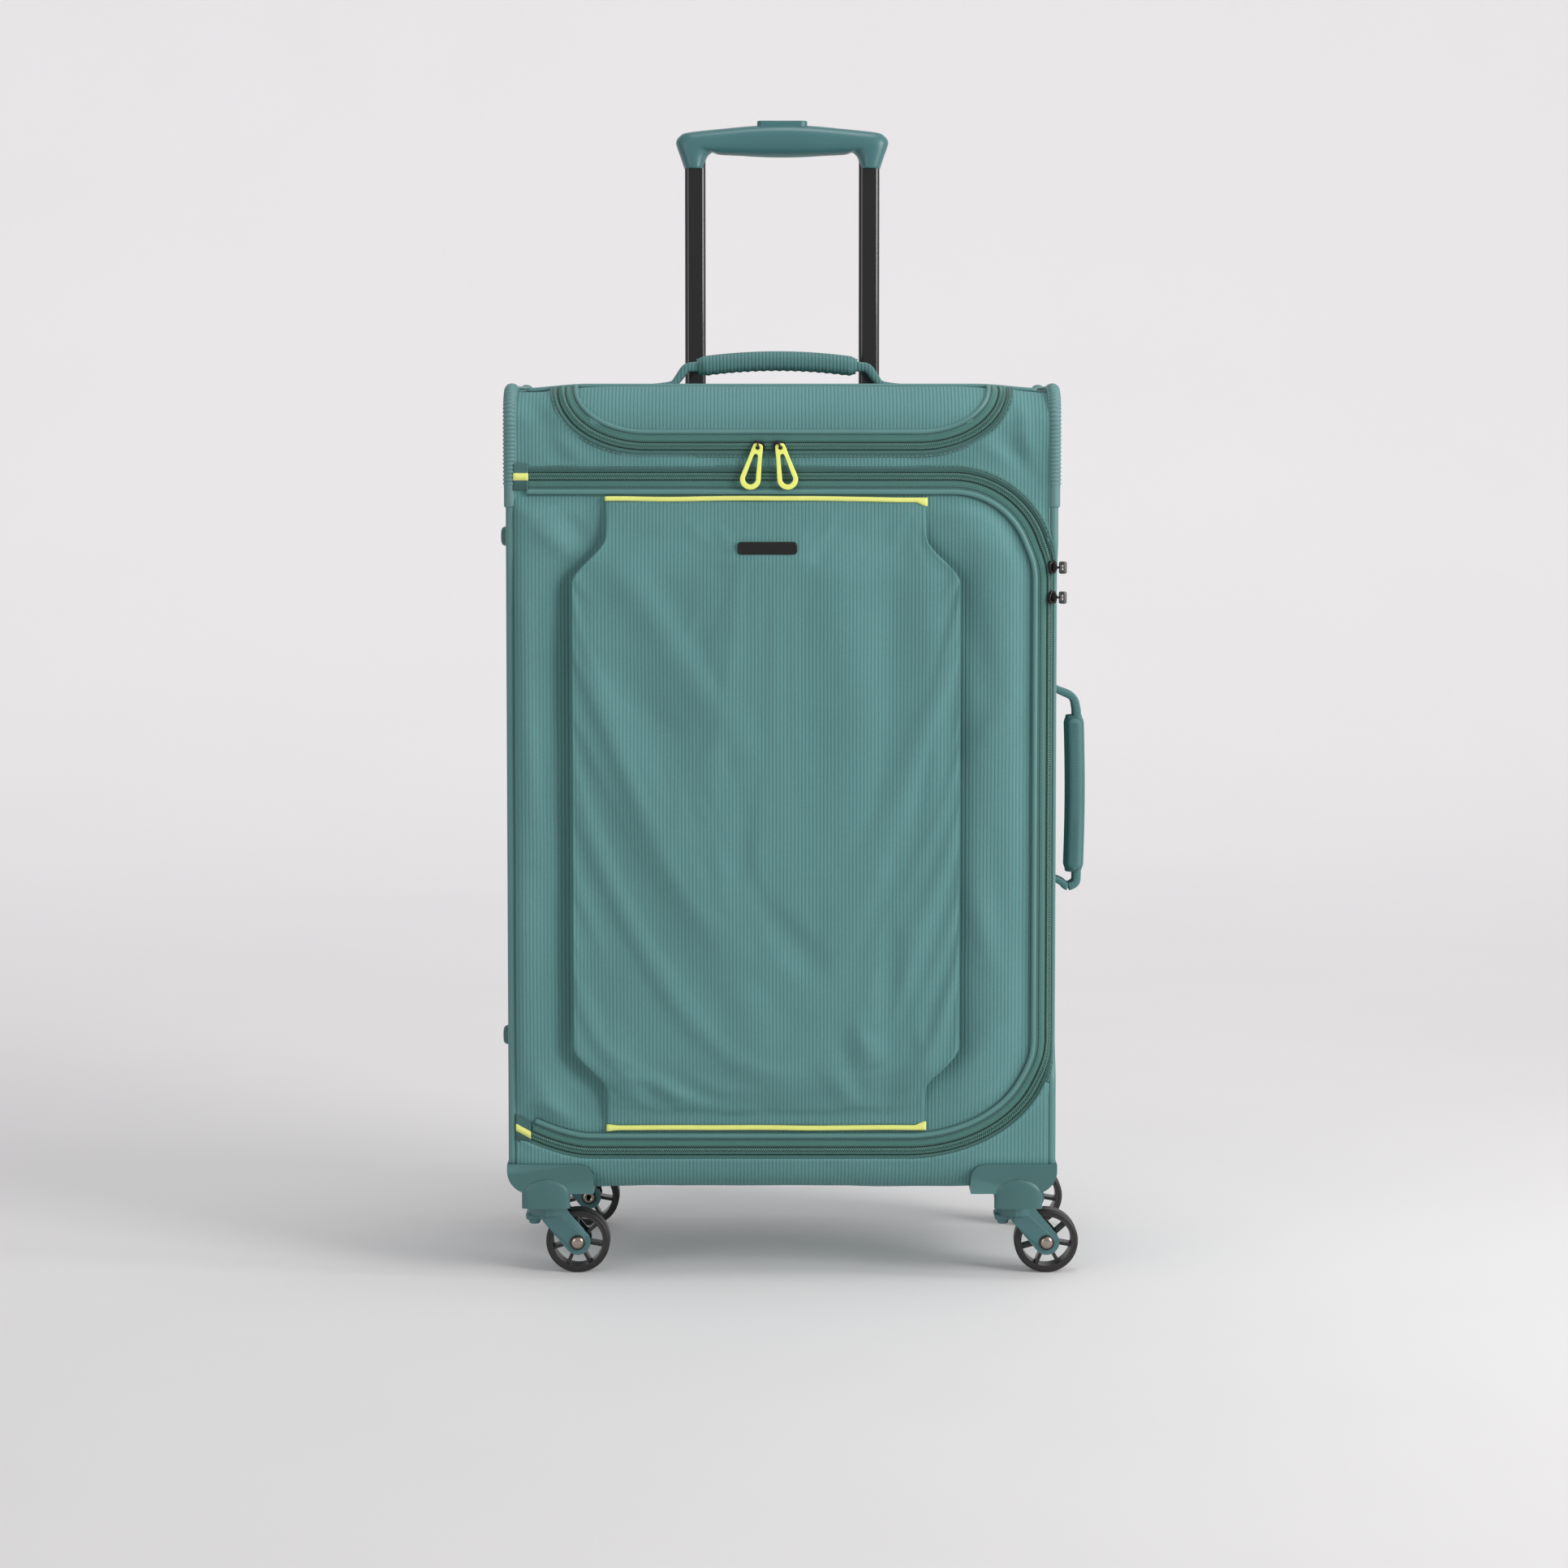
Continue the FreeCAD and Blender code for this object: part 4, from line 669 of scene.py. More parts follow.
def front_point(x, s, off=0.0):
    """Point on the case's front cloth at x and s (the height, where it is flat), moved out by
    off. Along the side run of the main zip the right edge rolls round the corner."""
    flat = loop_point(x, s - (TOP - ROUND), off)
    share = roll_share(s)
    if share <= 0 or x < ROLL_START - ROLL_EASE:
        return flat
    moved = x + ROLL_SHIFT * ease((x - ROLL_START + ROLL_EASE) / ROLL_EASE)
    start = ROLL_START + ROLL_SHIFT
    turn = max(moved - start, 0.0) / ROLL_R
    reach = ROLL_R + off
    if turn > 0:
        rolled = (start + reach * math.sin(turn), FRONT + ROLL_R - reach * math.cos(turn), s)
    else:
        rolled = (moved, FRONT - off, s)
    return tuple(f + (r - f) * share for f, r in zip(flat, rolled))


def height_to_cloth(z):
    """Distance up the cloth for a height on the front."""
    over = z - (TOP - ROUND)
    if over <= 0:
        return z
    return TOP - ROUND + ROUND * math.asin(min(over / ROUND, 1.0))


class Outline:
    """Open line on the front cloth, with its outward side, that seams and zips follow."""

    def __init__(self, points, flip=1.0):
        self.points = resample(points, 1.5)
        run = along(self.points)
        self.side = np.stack([-run[:, 1], run[:, 0]], axis=1) * flip
        lengths = np.linalg.norm(np.diff(self.points, axis=0), axis=1)
        self.length = np.concatenate([[0], np.cumsum(lengths)])

    def at(self, offset):
        return self.points + self.side * offset

    def stations(self, pitch, phase=0.0):
        """Points and outward sides at an even pitch."""
        where = np.arange(phase, self.length[-1], pitch)
        point = np.stack([np.interp(where, self.length, self.points[:, k]) for k in (0, 1)], 1)
        side = np.stack([np.interp(where, self.length, self.side[:, k]) for k in (0, 1)], 1)
        return point, side


def quarter(centre, rx, rz, start, end, count=40):
    """Points on an ellipse between two angles in degrees."""
    angles = np.radians(np.linspace(start, end, count))
    return [(centre[0] + rx * math.cos(a), centre[1] + rz * math.sin(a)) for a in angles]


def main_zip_line():
    """Coil's line from the upper left end, round the right side, to the lower left end."""
    points = [(ZIP_LEFT, ZIP_TOP), (0, ZIP_TOP)]
    points += quarter((ZIP_RIGHT - CORNER_HIGH, ZIP_TOP - CORNER_HIGH), CORNER_HIGH, CORNER_HIGH,
                      90, 0)
    points += quarter((ZIP_RIGHT - CORNER_LOW_X, ZIP_FOOT + CORNER_LOW_Z), CORNER_LOW_X,
                      CORNER_LOW_Z, 0, -90)
    for x in np.linspace(0, ZIP_LEFT, 60):
        points.append((x, ZIP_FOOT + 13.0 * max((-150.0 - x) / 46.0, 0.0) ** 1.6))
    return Outline(points)


def flap_line():
    """Flap coil's line, from the left end at the top edge, down and across to the right end."""
    drop = TOP - FLAP_FOOT
    reach = FLAP_HALF - FLAP_FLAT
    points = []
    for a in np.linspace(0, math.pi / 2, 60):
        points.append((-FLAP_FLAT - reach * math.cos(a), height_to_cloth(TOP - drop * math.sin(a))))
    for x in np.linspace(-FLAP_FLAT, FLAP_FLAT, 40)[1:-1]:
        points.append((x, height_to_cloth(FLAP_FOOT)))
    for a in np.linspace(math.pi / 2, 0, 60):
        points.append((FLAP_FLAT + reach * math.cos(a), height_to_cloth(TOP - drop * math.sin(a))))
    return Outline(points, -1.0)


MAIN_LINE = main_zip_line()
FLAP_LINE = flap_line()


def inside(polygon, x, z):
    """Which points lie inside a closed outline."""
    result = np.zeros(x.shape, dtype=bool)
    for (x0, z0), (x1, z1) in zip(polygon, np.roll(polygon, -1, 0)):
        crosses = (z0 > z) != (z1 > z)
        if abs(z1 - z0) > 1e-9:
            result ^= crosses & (x < (x1 - x0) * (z - z0) / (z1 - z0) + x0)
    return result


def trimmed_sheet(xs, ss, regions, surface):
    """Grid of cloth trimmed to outlines: regions are (polygon, keep its inside). Its edges are
    pulled onto the outlines."""
    gx, gs = np.meshgrid(xs, ss)
    cx = (gx[:-1, :-1] + gx[1:, 1:]) / 2
    cs = (gs[:-1, :-1] + gs[1:, 1:]) / 2
    keep = np.ones(cx.shape, dtype=bool)
    for polygon, wanted in regions:
        keep &= inside(polygon, cx, cs) == wanted
    used = np.zeros(gx.shape, dtype=int)
    for i in (0, 1):
        for j in (0, 1):
            used[i:i + keep.shape[0], j:j + keep.shape[1]] += keep
    step = max(xs[1] - xs[0], ss[1] - ss[0])
    edge = (used > 0) & (used < 4)
    dense = np.vstack([resample(polygon, 0.7, True) for polygon, _ in regions])
    for i, j in zip(*np.nonzero(edge)):
        gap = (dense[:, 0] - gx[i, j]) ** 2 + (dense[:, 1] - gs[i, j]) ** 2
        near = gap.argmin()
        if gap[near] < (1.3 * step) ** 2:
            gx[i, j], gs[i, j] = dense[near]
    rows = [[surface(gx[i, j], gs[i, j]) for j in range(gx.shape[1])] for i in range(gx.shape[0])]
    return rows, lambda i, j: keep[i, j]


# --- zips -------------------------------------------------------------------------------------
def ribbon(build, line, inner, outer, low, high, material=0):
    """Flat tape along a line on the front, between two offsets."""
    rows = []
    for offset, off in ((inner, low), (inner, high), ((inner + outer) / 2, high + 0.15),
                        (outer, high), (outer, low)):
        rows.append([front_point(x, s, off) for x, s in line.at(offset)])
    build.rows(np.transpose(np.array(rows), (1, 0, 2)), closed_across=True, material=material,
               caps=True)


def cord_line(build, line, offset, off, radius, sides=8, material=0):
    """Round cord sewn along a line on the front."""
    points = [front_point(x, s, off) for x, s in line.at(offset)]
    build.rows(tube_rows(resample(points, 2.0), radius, sides, up=(0, -1, 0.3)),
               closed_across=True, material=material, caps=True)


STITCH_PITCH = 3.4
STITCH_LENGTH = 2.2
STITCH_R = 0.32


def stitch_row(build, line, offset, off, material):
    """Lockstitch: short raised dashes along a line on the front."""
    points, sides = line.stations(STITCH_PITCH, STITCH_PITCH / 2)
    tangents = np.stack([sides[:, 1], -sides[:, 0]], axis=1)
    for point, side, way in zip(points, sides, tangents):
        centre = point + side * offset
        a = centre - way * STITCH_LENGTH / 2
        b = centre + way * STITCH_LENGTH / 2
        capsule(build, front_point(*a, off), front_point(*b, off), STITCH_R, 5, material)


COIL_R = 0.55                            # radius of one coil element
COIL_END = 2.2                           # how far an element reaches from the coil's line


def zip_half(name, line, outward, body, node, width, pitch=1.75, base=0.0):
    """One tape with its coil, its cord and stitches, and a near-black strip and thin cord as painted
    shade under and beside the coil; outward is +1 or -1.
    """
    build = Build()
    ribbon(build, line, 2.6 * outward, width * outward, base + 0.25, base + 0.95)
    # Slot 3, the near-black cloth, draws a strip under the coil and a thin cord beside it: painted
    # shade.
    ribbon(build, line, 0.35 * outward, 2.8 * outward, base + 0.2, base + 0.5, 3)
    cord_line(build, line, 2.95 * outward, base + 1.15, 0.4, 6, 3)
    cord_line(build, line, 1.5 * outward, base + 1.1, 0.8, 8, 1)
    points, sides = line.stations(pitch, pitch * (0.25 if outward > 0 else 0.75))
    slant = np.stack([sides[:, 1], -sides[:, 0]], axis=1) * 0.55
    for point, side, way in zip(points, sides, slant):
        a = point + side * outward * 0.3 - way
        b = point + side * outward * COIL_END + way
        capsule(build, front_point(*a, base + 1.9), front_point(*b, base + 1.5), COIL_R, 6, 1)
    stitch_row(build, line, (width - 1.4) * outward, base + 1.1, material=2)
    return build.finish(name, body, [TAPE_CLOTH, COIL, THREAD, ZIP_GAP_SHADE], "zip_tape", (node,))


# --- case cloth --------------------------------------------------------------------------------
def shell_puff(x, s, seed):
    """Slight unevenness of padded panels."""
    return 0.9 * ripple(x, s, seed, 85.0) + 0.35 * ripple(x, s, seed + 3.0, 30.0)


def lid_polygon(inset, left):
    """Closed outline of the lid, drawn in from the zip's line."""
    line = MAIN_LINE.at(-inset)
    head = [(left, line[0][1])]
    tail = [(left, line[-1][1] + 0.15 * (ZIP_LEFT - left))]
    return np.vstack([head, line, tail])


def flap_polygon(inset):
    """Closed outline of the flap, open over the top edge."""
    line = FLAP_LINE.at(-inset)
    high = TOP - ROUND + ROUND_RUN
    return np.vstack([line, [(line[-1][0], high + 30), (line[0][0], high + 30)]])


def line_gap(line, x, s):
    """Distance of a point on the cloth from a zip's line."""
    return math.sqrt(((line.points[:, 0] - x) ** 2 + (line.points[:, 1] - s) ** 2).min())


def hem_rise(x, s):
    """Cloth's folded edge stands on the zip tapes and falls back to the panel behind them."""
    gap = min(line_gap(MAIN_LINE, x, s), line_gap(FLAP_LINE, x, s)) - HEM
    return 1.25 * ease(1.0 - gap / 6.0)


SEAM_EDGE = SIDE_IN + 1.5                # the case cloth ends under the side piping
CASE_FOLDS = (
    # from, to, half width and height of each soft fold round the lid
    (-194, 684, -170, 640, 9, -2.6), (-184, 660, -150, 636, 7, 2.2),
    (-120, 640, -60, 634, 6, 1.4), (168, 655, 196, 622, 8, -2.6),
    (182, 690, 190, 630, 6, 1.8), (150, 650, 176, 636, 6, 1.6),
    (90, 641, 140, 634, 6, -1.2))


def make_front():
    """Front cloth of the case round the lid and the flap, carried under the lower edge."""
    edge = SEAM_EDGE
    xs = np.linspace(-edge, edge, 190)
    low = BOTTOM + ROUND - ROUND_RUN
    high = TOP - ROUND + ROUND_RUN - 1.5
    ss = np.linspace(low, high, 290)

    def surface(x, s):
        seam = ease((edge - abs(x)) / 14.0)
        ear = ease((s - ZIP_TOP - 8) / 20.0) * ease((abs(x) - FLAP_FLAT) / 40.0)
        off = (0.6 + shell_puff(x, s, 1.7)) * seam + ear * 1.6 * (ripple(x, s, 9.1, 34.0) + 0.3)
        for fold in CASE_FOLDS:
            off += ridge(x, s, *fold) * seam
        off -= 1.4 * ease((s - high + 7.0) / 7.0)
        rise = hem_rise(x, s)
        return front_point(x, s, min(off * (1 - 0.7 * rise) + rise, 3.2))

    regions = [(lid_polygon(-HEM, -HALF - 5), False), (flap_polygon(-HEM), False)]
    rows, keep = trimmed_sheet(xs, ss, regions, surface)
    build = Build()
    build.rows(rows, keep=keep)
    thicken(build.finish("front_cloth", "case", SHELL, "shell_fabric", ("front_frame",)), 1.6)
    hems = Build()
    for line in (MAIN_LINE, FLAP_LINE):
        cord_line(hems, line, HEM, 1.3, 0.95, 10)
        stitch_row(hems, line, HEM + 2.2, 2.2, material=1)
    hems.finish("front_hems", "case", [BINDING, THREAD], "shell_fabric")


def make_wrap():
    """Cloth over the top, down the back and under the base, with the trolley well let in."""
    edge = SEAM_EDGE
    xs = np.concatenate([np.linspace(-edge, WELL_LOW[0] + 3, 34),
                         np.linspace(WELL_LOW[0] + 5, WELL_HIGH[0] - 5, 52),
                         np.linspace(WELL_HIGH[0] - 3, edge, 34)])
    top_start = ROUND_RUN + 1.5
    well_start = ROUND_RUN + (WELL_LOW[1] + 3 - (FRONT + ROUND))
    well_end = ROUND_RUN + TOP_RUN + 13.0
    end = 3 * ROUND_RUN + 2 * TOP_RUN + FRONT_RUN
    ss = np.concatenate([np.linspace(top_start, well_start, 50),
                         np.linspace(well_start + 2, well_end, 12),
                         np.linspace(well_end + 3, end, 260)])
    rows = []
    for s in ss:
        row = []
        for x in xs:
            seam = ease((edge - abs(x)) / 16.0)
            calm = 1.0 if s > well_end + 20 else 0.6
            row.append(loop_point(x, s, 0.2 + calm * (0.5 + shell_puff(x, s, 5.3)) * seam))
        rows.append(row)

    def keep(i, j):
        x = (xs[j] + xs[j + 1]) / 2
        s = (ss[i] + ss[i + 1]) / 2
        return not (WELL_LOW[0] + 4 < x < WELL_HIGH[0] - 4 and well_start + 1 < s < well_end + 1)

    build = Build()
    build.rows(rows, keep=keep)
    thicken(build.finish("case_wrap", "case", SHELL, "shell_fabric",
                         ("top_panel", "back_panel", "bottom_panel")), 2.5)


def side_loop(inset, right, count=16):
    """Rounded outline of a side in Y and Z; on the right its front run is set back by the zip."""
    r = ROUND - inset
    corners = ((FRONT + ROUND, TOP - ROUND, 180, 90), (BACK - ROUND, TOP - ROUND, 90, 0),
               (BACK - ROUND, BOTTOM + ROUND, 0, -90), (FRONT + ROUND, BOTTOM + ROUND, -90, -180))
    points = []
    for cy, cz, start, end in corners:
        points += quarter((cy, cz), r, r, start, end, count)
    points = resample(points, 3.0, True)
    if right:
        for point in points:
            if point[0] < FRONT + inset + 1.0:
                point[0] += 14.0 * roll_share(point[1])
    return points


def make_sides():
    """Side panels: padded, a little full, inside their piping."""
    for name, sign in (("left", -1), ("right", 1)):
        polygon = side_loop(PIPING_IN + 1.0, sign > 0)
        ys = np.linspace(FRONT, BACK, 96)
        zs = np.linspace(BOTTOM, TOP, 220)

        def surface(y, z):
            edge = min(y - FRONT, BACK - y, z - BOTTOM, TOP - z)
            full = ease((edge - 2) / 22.0)
            off = 0.2 + 2.0 * full + 0.9 * full * ripple(y, z, 11.0 + sign, 80.0)
            return sign * (HALF - 1.2 + off), y, z

        rows, keep = trimmed_sheet(ys, zs, [(polygon, True)], surface)
        build = Build()
        build.rows(rows, keep=keep)
        obj = build.finish(name + "_side_cloth", "case", SHELL_SIDE, "shell_fabric",
                           (name + "_side_panel",))
        thicken(obj, 2.5)


def make_piping():
    """Cord piping round both sides and along the flap's hinge edge, with its sewn flange."""
    build = Build()
    for sign in (-1, 1):
        loop = [(sign * PIPING_X, y, z) for y, z in side_loop(PIPING_IN, sign > 0, 22)]
        build.rows(tube_rows(loop, PIPING_R, 14, closed=True, up=(1, 0, 0)), True, True)
        flange = [(sign * (SIDE_IN + 0.2), y, z) for y, z in side_loop(0.2, sign > 0, 22)]
        build.rows(tube_rows(flange, 1.0, 8, closed=True, up=(1, 0, 0)), True, True)
    half = SIDE_IN - 8
    edge = []
    for x in np.linspace(-half, half, 110):
        edge.append((x, FRONT + ROUND + 0.4 * ripple(x, 0, 4.0, 40.0),
                     TOP + 0.9 - corner_sag(x, TOP)))
    build.rows(tube_rows(edge, 2.1, 12), True, caps=True)
    build.finish("body_piping_cord", "case", PIPING, "piping", ("body_piping",))


def make_guards():
    """Rubber sleeves over the piping at the four top corners, ribbed outside."""
    step_length, rib_pitch, sleeve_r = 0.45, 3.05, 4.55
    build = Build()
    for sign in (-1, 1):
        for facing in (-1, 1):
            low = TOP - 92.0
            path = [(FRONT + PIPING_IN, low), (FRONT + PIPING_IN, TOP - ROUND)]
            path += quarter((FRONT + ROUND, TOP - ROUND), ROUND - PIPING_IN, ROUND - PIPING_IN,
                            180, 90, 30)
            path.append((FRONT + ROUND + 34, TOP - PIPING_IN))
            path = resample(path, step_length)
            points = [(sign * (PIPING_X + 0.3), y if facing < 0 else -y, z) for y, z in path]
            step = np.arange(len(points)) * step_length
            rib = 0.5 + 0.5 * np.cos(2 * math.pi * step / rib_pitch)
            ends = np.minimum(step, step[-1] - step)
            ribbed = np.array([ease((e - 15.0) / 3.0) for e in ends])
            radius = sleeve_r + ribbed * (0.95 * rib ** 0.6 - 0.2)
            radius = radius * np.array([0.86 + 0.14 * ease(e / 1.2) for e in ends])
            build.rows(tube_rows(points, radius, 16, up=(1, 0, 0)), True, caps=True)
    build.finish("corner_guard_sleeves", "case", GUARD, "guard_rubber", ("corner_guards",))


def make_feet():
    """Side studs: stepped moulded feet with a rubber tip and a centre rivet."""
    low, high = span("side_feet")
    build = Build()
    # height out from the side and radius, from the flange to the rivet's middle
    profile = ((0.0, 10.2), (1.2, 10.2), (2.2, 9.2), (3.0, 8.2), (6.6, 7.4), (8.0, 6.6),
               (8.8, 5.2), (9.0, 3.4), (8.2, 2.9), (7.8, 2.4), (8.6, 1.6), (8.7, 0.1))
    for y in (low[1] + 8.0, high[1] - 8.0):
        for z in (low[2] + 8.0, high[2] - 8.0):
            rows = []
            for out, r in profile:
                rows.append([(-HALF - out, y + r * math.cos(a), z + r * math.sin(a))
                             for a in turns(28)])
            build.rows(rows, True, caps=True)
    build.finish("side_studs", "case", HOUSING, "housing_plastic", ("side_feet",))


# --- lid and pocket ----------------------------------------------------------------------------
MIDDLE = (POCKET_LOW[0] + POCKET_HIGH[0]) / 2
WIDE = (POCKET_HIGH[0] - POCKET_LOW[0]) / 2
NARROW = 123.0                           # half width at the pocket's two ends
NECK = 28.0                              # length of the narrow ends
SHOULDER = 34.0                          # height over which it widens
PLEAT = 10.6                             # how far the pocket's front stands out


def pocket_half(z):
    """Half width of the pocket at a height, with its two shoulders."""
    down = (POCKET_HIGH[2] - NECK - z) / SHOULDER
    up = (z - POCKET_LOW[2] - NECK) / SHOULDER
    share = min(down, up)
    bent = 0.25 * min(max(share, 0.0), 1.0) + 0.75 * ease(share)
    return NARROW + (WIDE - NARROW) * bent


LID_FOLDS = (
    # from, to, half width and height of each soft fold beside the pocket
    (150, 415, 176, 452, 11, 3.6), (138, 560, 160, 440, 12, -2.6),
    (150, 300, 160, 250, 10, 2.6), (160, 350, 166, 260, 9, -1.6),
    (140, 585, 176, 560, 12, 2.0), (136, 150, 160, 190, 10, 2.4),
    (-192, 590, -156, 560, 9, 3.2), (-170, 596, -150, 574, 7, -2.4),
    (-196, 520, -192, 330, 8, 2.2), (-176, 300, -190, 420, 9, 1.6),
    (-190, 160, -170, 118, 9, 2.6), (-170, 150, -150, 122, 8, -1.8))


def lid_off(x, z):
    """Lid's padding: full along its left edge and beside the pocket, sunk along the pleats."""
    half = pocket_half(z)
    left, right = MIDDLE - half, MIDDLE + half
    off = 0.3
    if x < left:
        u = min(max((x + HALF) / (left + HALF), 0.0), 1.0)
        off += 6.4 * math.sin(math.pi * u ** 0.55) ** 1.2 - 2.4 * ease((u - 0.5) / 0.5)
    elif x > right:
        u = min(max((x - right) / max(ZIP_RIGHT - 12 - right, 1.0), 0.0), 1.0)
        off += 5.5 * math.sin(math.pi * u ** 0.9) ** 1.1
    off += 1.3 * ripple(x, z * 0.35, 2.2, 38.0)
    for fold in LID_FOLDS:
        off += ridge(x, z, *fold)
    edge = ease((x + HALF + 1) / 9.0)
    return max(off, -2.2) * edge * ease((line_gap(MAIN_LINE, x, z) - 13.0) / 16.0)


# Two bodies and two points along the strip of cloth beside the lid's left edge.
LID_HINGE = ("case", "lid", ((-HALF + 2) * MM, (FRONT - 2) * MM, 0.36),
             ((-HALF + 13) * MM, (FRONT - 2) * MM, 0.36))


def make_lid():
    """Lid cloth, reaching to its left edge."""
    xs = np.linspace(-HALF + 2.4, ZIP_RIGHT, 166)
    ss = np.linspace(ZIP_FOOT, ZIP_TOP, 212)

    def surface(x, s):
        return front_point(x, s, lid_off(x, s))

    rows, keep = trimmed_sheet(xs, ss, [(lid_polygon(0.8, -HALF + 2.4), True)], surface)
    build = Build()
    build.rows(rows, keep=keep)
    obj = build.finish("lid_cloth", None, SHELL, "shell_fabric", ("lid_panel",), blend=LID_HINGE)
    thicken(obj, 1.4)


def make_lid_piping():
    """Piping just inside the lid's zip, with the folded binding beside it."""
    build = Build()
    line = Outline(MAIN_LINE.points)
    cord_line(build, line, -12.0, 1.5, 2.1, 12)
    ribbon(build, line, -8.6, -11.2, 0.3, 1.5, 1)
    stitch_row(build, line, -15.0, 0.7, material=2)
    build.finish("lid_piping_cord", "lid", [PIPING, BINDING, THREAD], "piping", ("lid_piping",))
    build = Build()
    line = Outline(FLAP_LINE.points, -1.0)
    cord_line(build, line, -11.0, 1.3, 1.7, 12)
    ribbon(build, line, -8.8, -10.2, 0.3, 1.3, 1)
    build.finish("flap_rim_cord", "top_flap", [PIPING, BINDING], "piping")


POCKET_FOLDS = (
    # from, to, half width and height of each soft fold in the pocket's cloth
    (-147, 532, -138, 438, 20, 3.0), (-138, 438, -91, 351, 22, 4.6),
    (-91, 351, -41, 270, 24, 4.8), (-41, 270, -10, 176, 24, 3.6),
    (-122, 469, -60, 376, 15, -3.2), (-60, 376, -10, 289, 17, -4.0),
    (-10, 289, 34, 236, 15, -3.6), (-135, 563, -91, 507, 15, 3.0),
    (-91, 507, -29, 413, 17, 3.2), (-95, 545, -50, 470, 12, -2.0),
    (36, 586, 58, 440, 22, 3.0), (58, 440, 52, 330, 20, 2.2), (83, 590, 84, 330, 13, -2.4),
    (84, 330, 82, 128, 12, -4.2), (60, 200, 74, 168, 9, 3.4), (36, 168, 58, 136, 9, 2.4),
    (40, 200, 62, 150, 7, -2.0), (112, 560, 122, 300, 12, 2.2), (100, 210, 118, 160, 9, 2.4),
    (-132, 190, -112, 150, 10, 3.0), (-120, 166, -84, 132, 8, -2.4),
    (-100, 160, -60, 136, 8, 2.0), (-30, 140, 10, 130, 9, -1.6), (-60, 596, -10, 566, 11, -1.4),
    (96, 600, 108, 560, 8, 1.8), (-152, 520, -146, 440, 9, 1.4))


def pocket_off(x, z):
    """Front surface of the pocket: pleat depth, sag and soft folds."""
    high, low = POCKET_HIGH[2], POCKET_LOW[2]
    rise = min(ease((high - z) / 62.0), ease((z - low) / 56.0))
    off = 2.4 + PLEAT * rise
    u = (x - MIDDLE) / pocket_half(z)
    off += 1.6 * rise * (1 - u * u)
    off += rise * (1.0 * ripple(x * 0.8, z * 0.5, 6.6, 70.0) + 0.4 * ripple(x, z, 7.7, 26.0))
    hold = 0.35 + 0.65 * min(ease((high - z) / 30.0), ease((z - low) / 24.0))
    hold *= ease(math.hypot((x - BADGE_MIDDLE[0]) / 44.0, (z - BADGE_MIDDLE[2]) / 24.0) - 0.3)
    for fold in POCKET_FOLDS:
        off += hold * ridge(x, z, *fold)
    return max(off, 2.0)


SETTLE_FRAMES = 12
SETTLE_CAP = 2.5                         # longest move of a point as the cloth settles
SETTLE_SLACK = 0.002                     # share by which the cloth is cut larger than its shape


def settle(obj, held):
    """Let cloth settle under its own weight by simulation; held points stay where they are."""
    mesh = obj.data
    start = np.empty(len(mesh.vertices) * 3)
    mesh.vertices.foreach_get("co", start)
    start = start.reshape(-1, 3)
    obj.vertex_groups.new(name="held").add(held, 1.0, "REPLACE")
    cloth = obj.modifiers.new("settle", "CLOTH")
    settings = cloth.settings
    settings.quality = 5
    settings.mass = 0.2
    settings.tension_stiffness = 60.0
    settings.compression_stiffness = 40.0
    settings.shear_stiffness = 30.0
    settings.bending_stiffness = 12.0
    settings.shrink_min = -SETTLE_SLACK
    settings.vertex_group_mass = "held"
    cloth.collision_settings.use_collision = False
    scene = bpy.context.scene
    for frame_number in range(1, SETTLE_FRAMES + 1):
        scene.frame_set(frame_number)
    graph = bpy.context.evaluated_depsgraph_get()
    settled = obj.evaluated_get(graph).data
    moved = np.empty(len(settled.vertices) * 3)
    settled.vertices.foreach_get("co", moved)
    obj.modifiers.remove(cloth)
    scene.frame_set(1)
    move = moved.reshape(-1, 3) - start
    length = np.maximum(np.linalg.norm(move, axis=1, keepdims=True), 1e-9)
    move *= np.minimum(1.0, SETTLE_CAP * MM / length)
    mesh.vertices.foreach_set("co", (start + move).reshape(-1))
    mesh.update()


def make_pocket():
    """Pleated pocket: cloth comes out from under each side, turns over a fold and crosses."""
    high, low = POCKET_HIGH[2], POCKET_LOW[2]
    rows = []
    for z in np.linspace(low, high, 150):
        half = pocket_half(z)
        row = []
        for side in (-1, 1):
            edge = MIDDLE + side * half
            depth = pocket_off(edge - side * 6, z)
            r = min(2.2, depth * 0.42)
            part = [(edge - side * 17, 0.4), (edge - side * 11, 0.5 + 0.06 * depth),
                    (edge - side * (r + 3.5), 0.4 * (depth - 2 * r))]
            for a in np.linspace(-80, 80, 9):
                part.append((edge - side * (r - r * math.cos(math.radians(a))),
                             depth - r + r * math.sin(math.radians(a))))
            row.append(part)
        left, right = row
        inner_left, inner_right = left[-1][0] + 1.2, right[-1][0] - 1.2
        across = [(x, pocket_off(x, z)) for x in np.linspace(inner_left, inner_right, 96)]
        line = left + across + right[::-1]
        waver = 0.06 * math.sin((z - low) / (high - low) * 40)
        rows.append([front_point(x, z + waver, off) for x, off in line])
    build = Build()
    build.rows(rows)
    obj = build.finish("pocket_cloth", "lid", POCKET, "pocket_fabric", ("front_pocket",))
    count, width = len(rows), len(rows[0])
    held = []
    for i in range(count):
        for j in range(width):
            x, _, z = rows[i][j]
            tucked = j < 9 or j >= width - 9 or i < 4 or i >= count - 4
            badge = abs(x - BADGE_MIDDLE[0]) < 29 and abs(z - BADGE_MIDDLE[2]) < 10
            if tucked or badge:
                held.append(i * width + j)
    settle(obj, held)
    thicken(obj, 1.4)


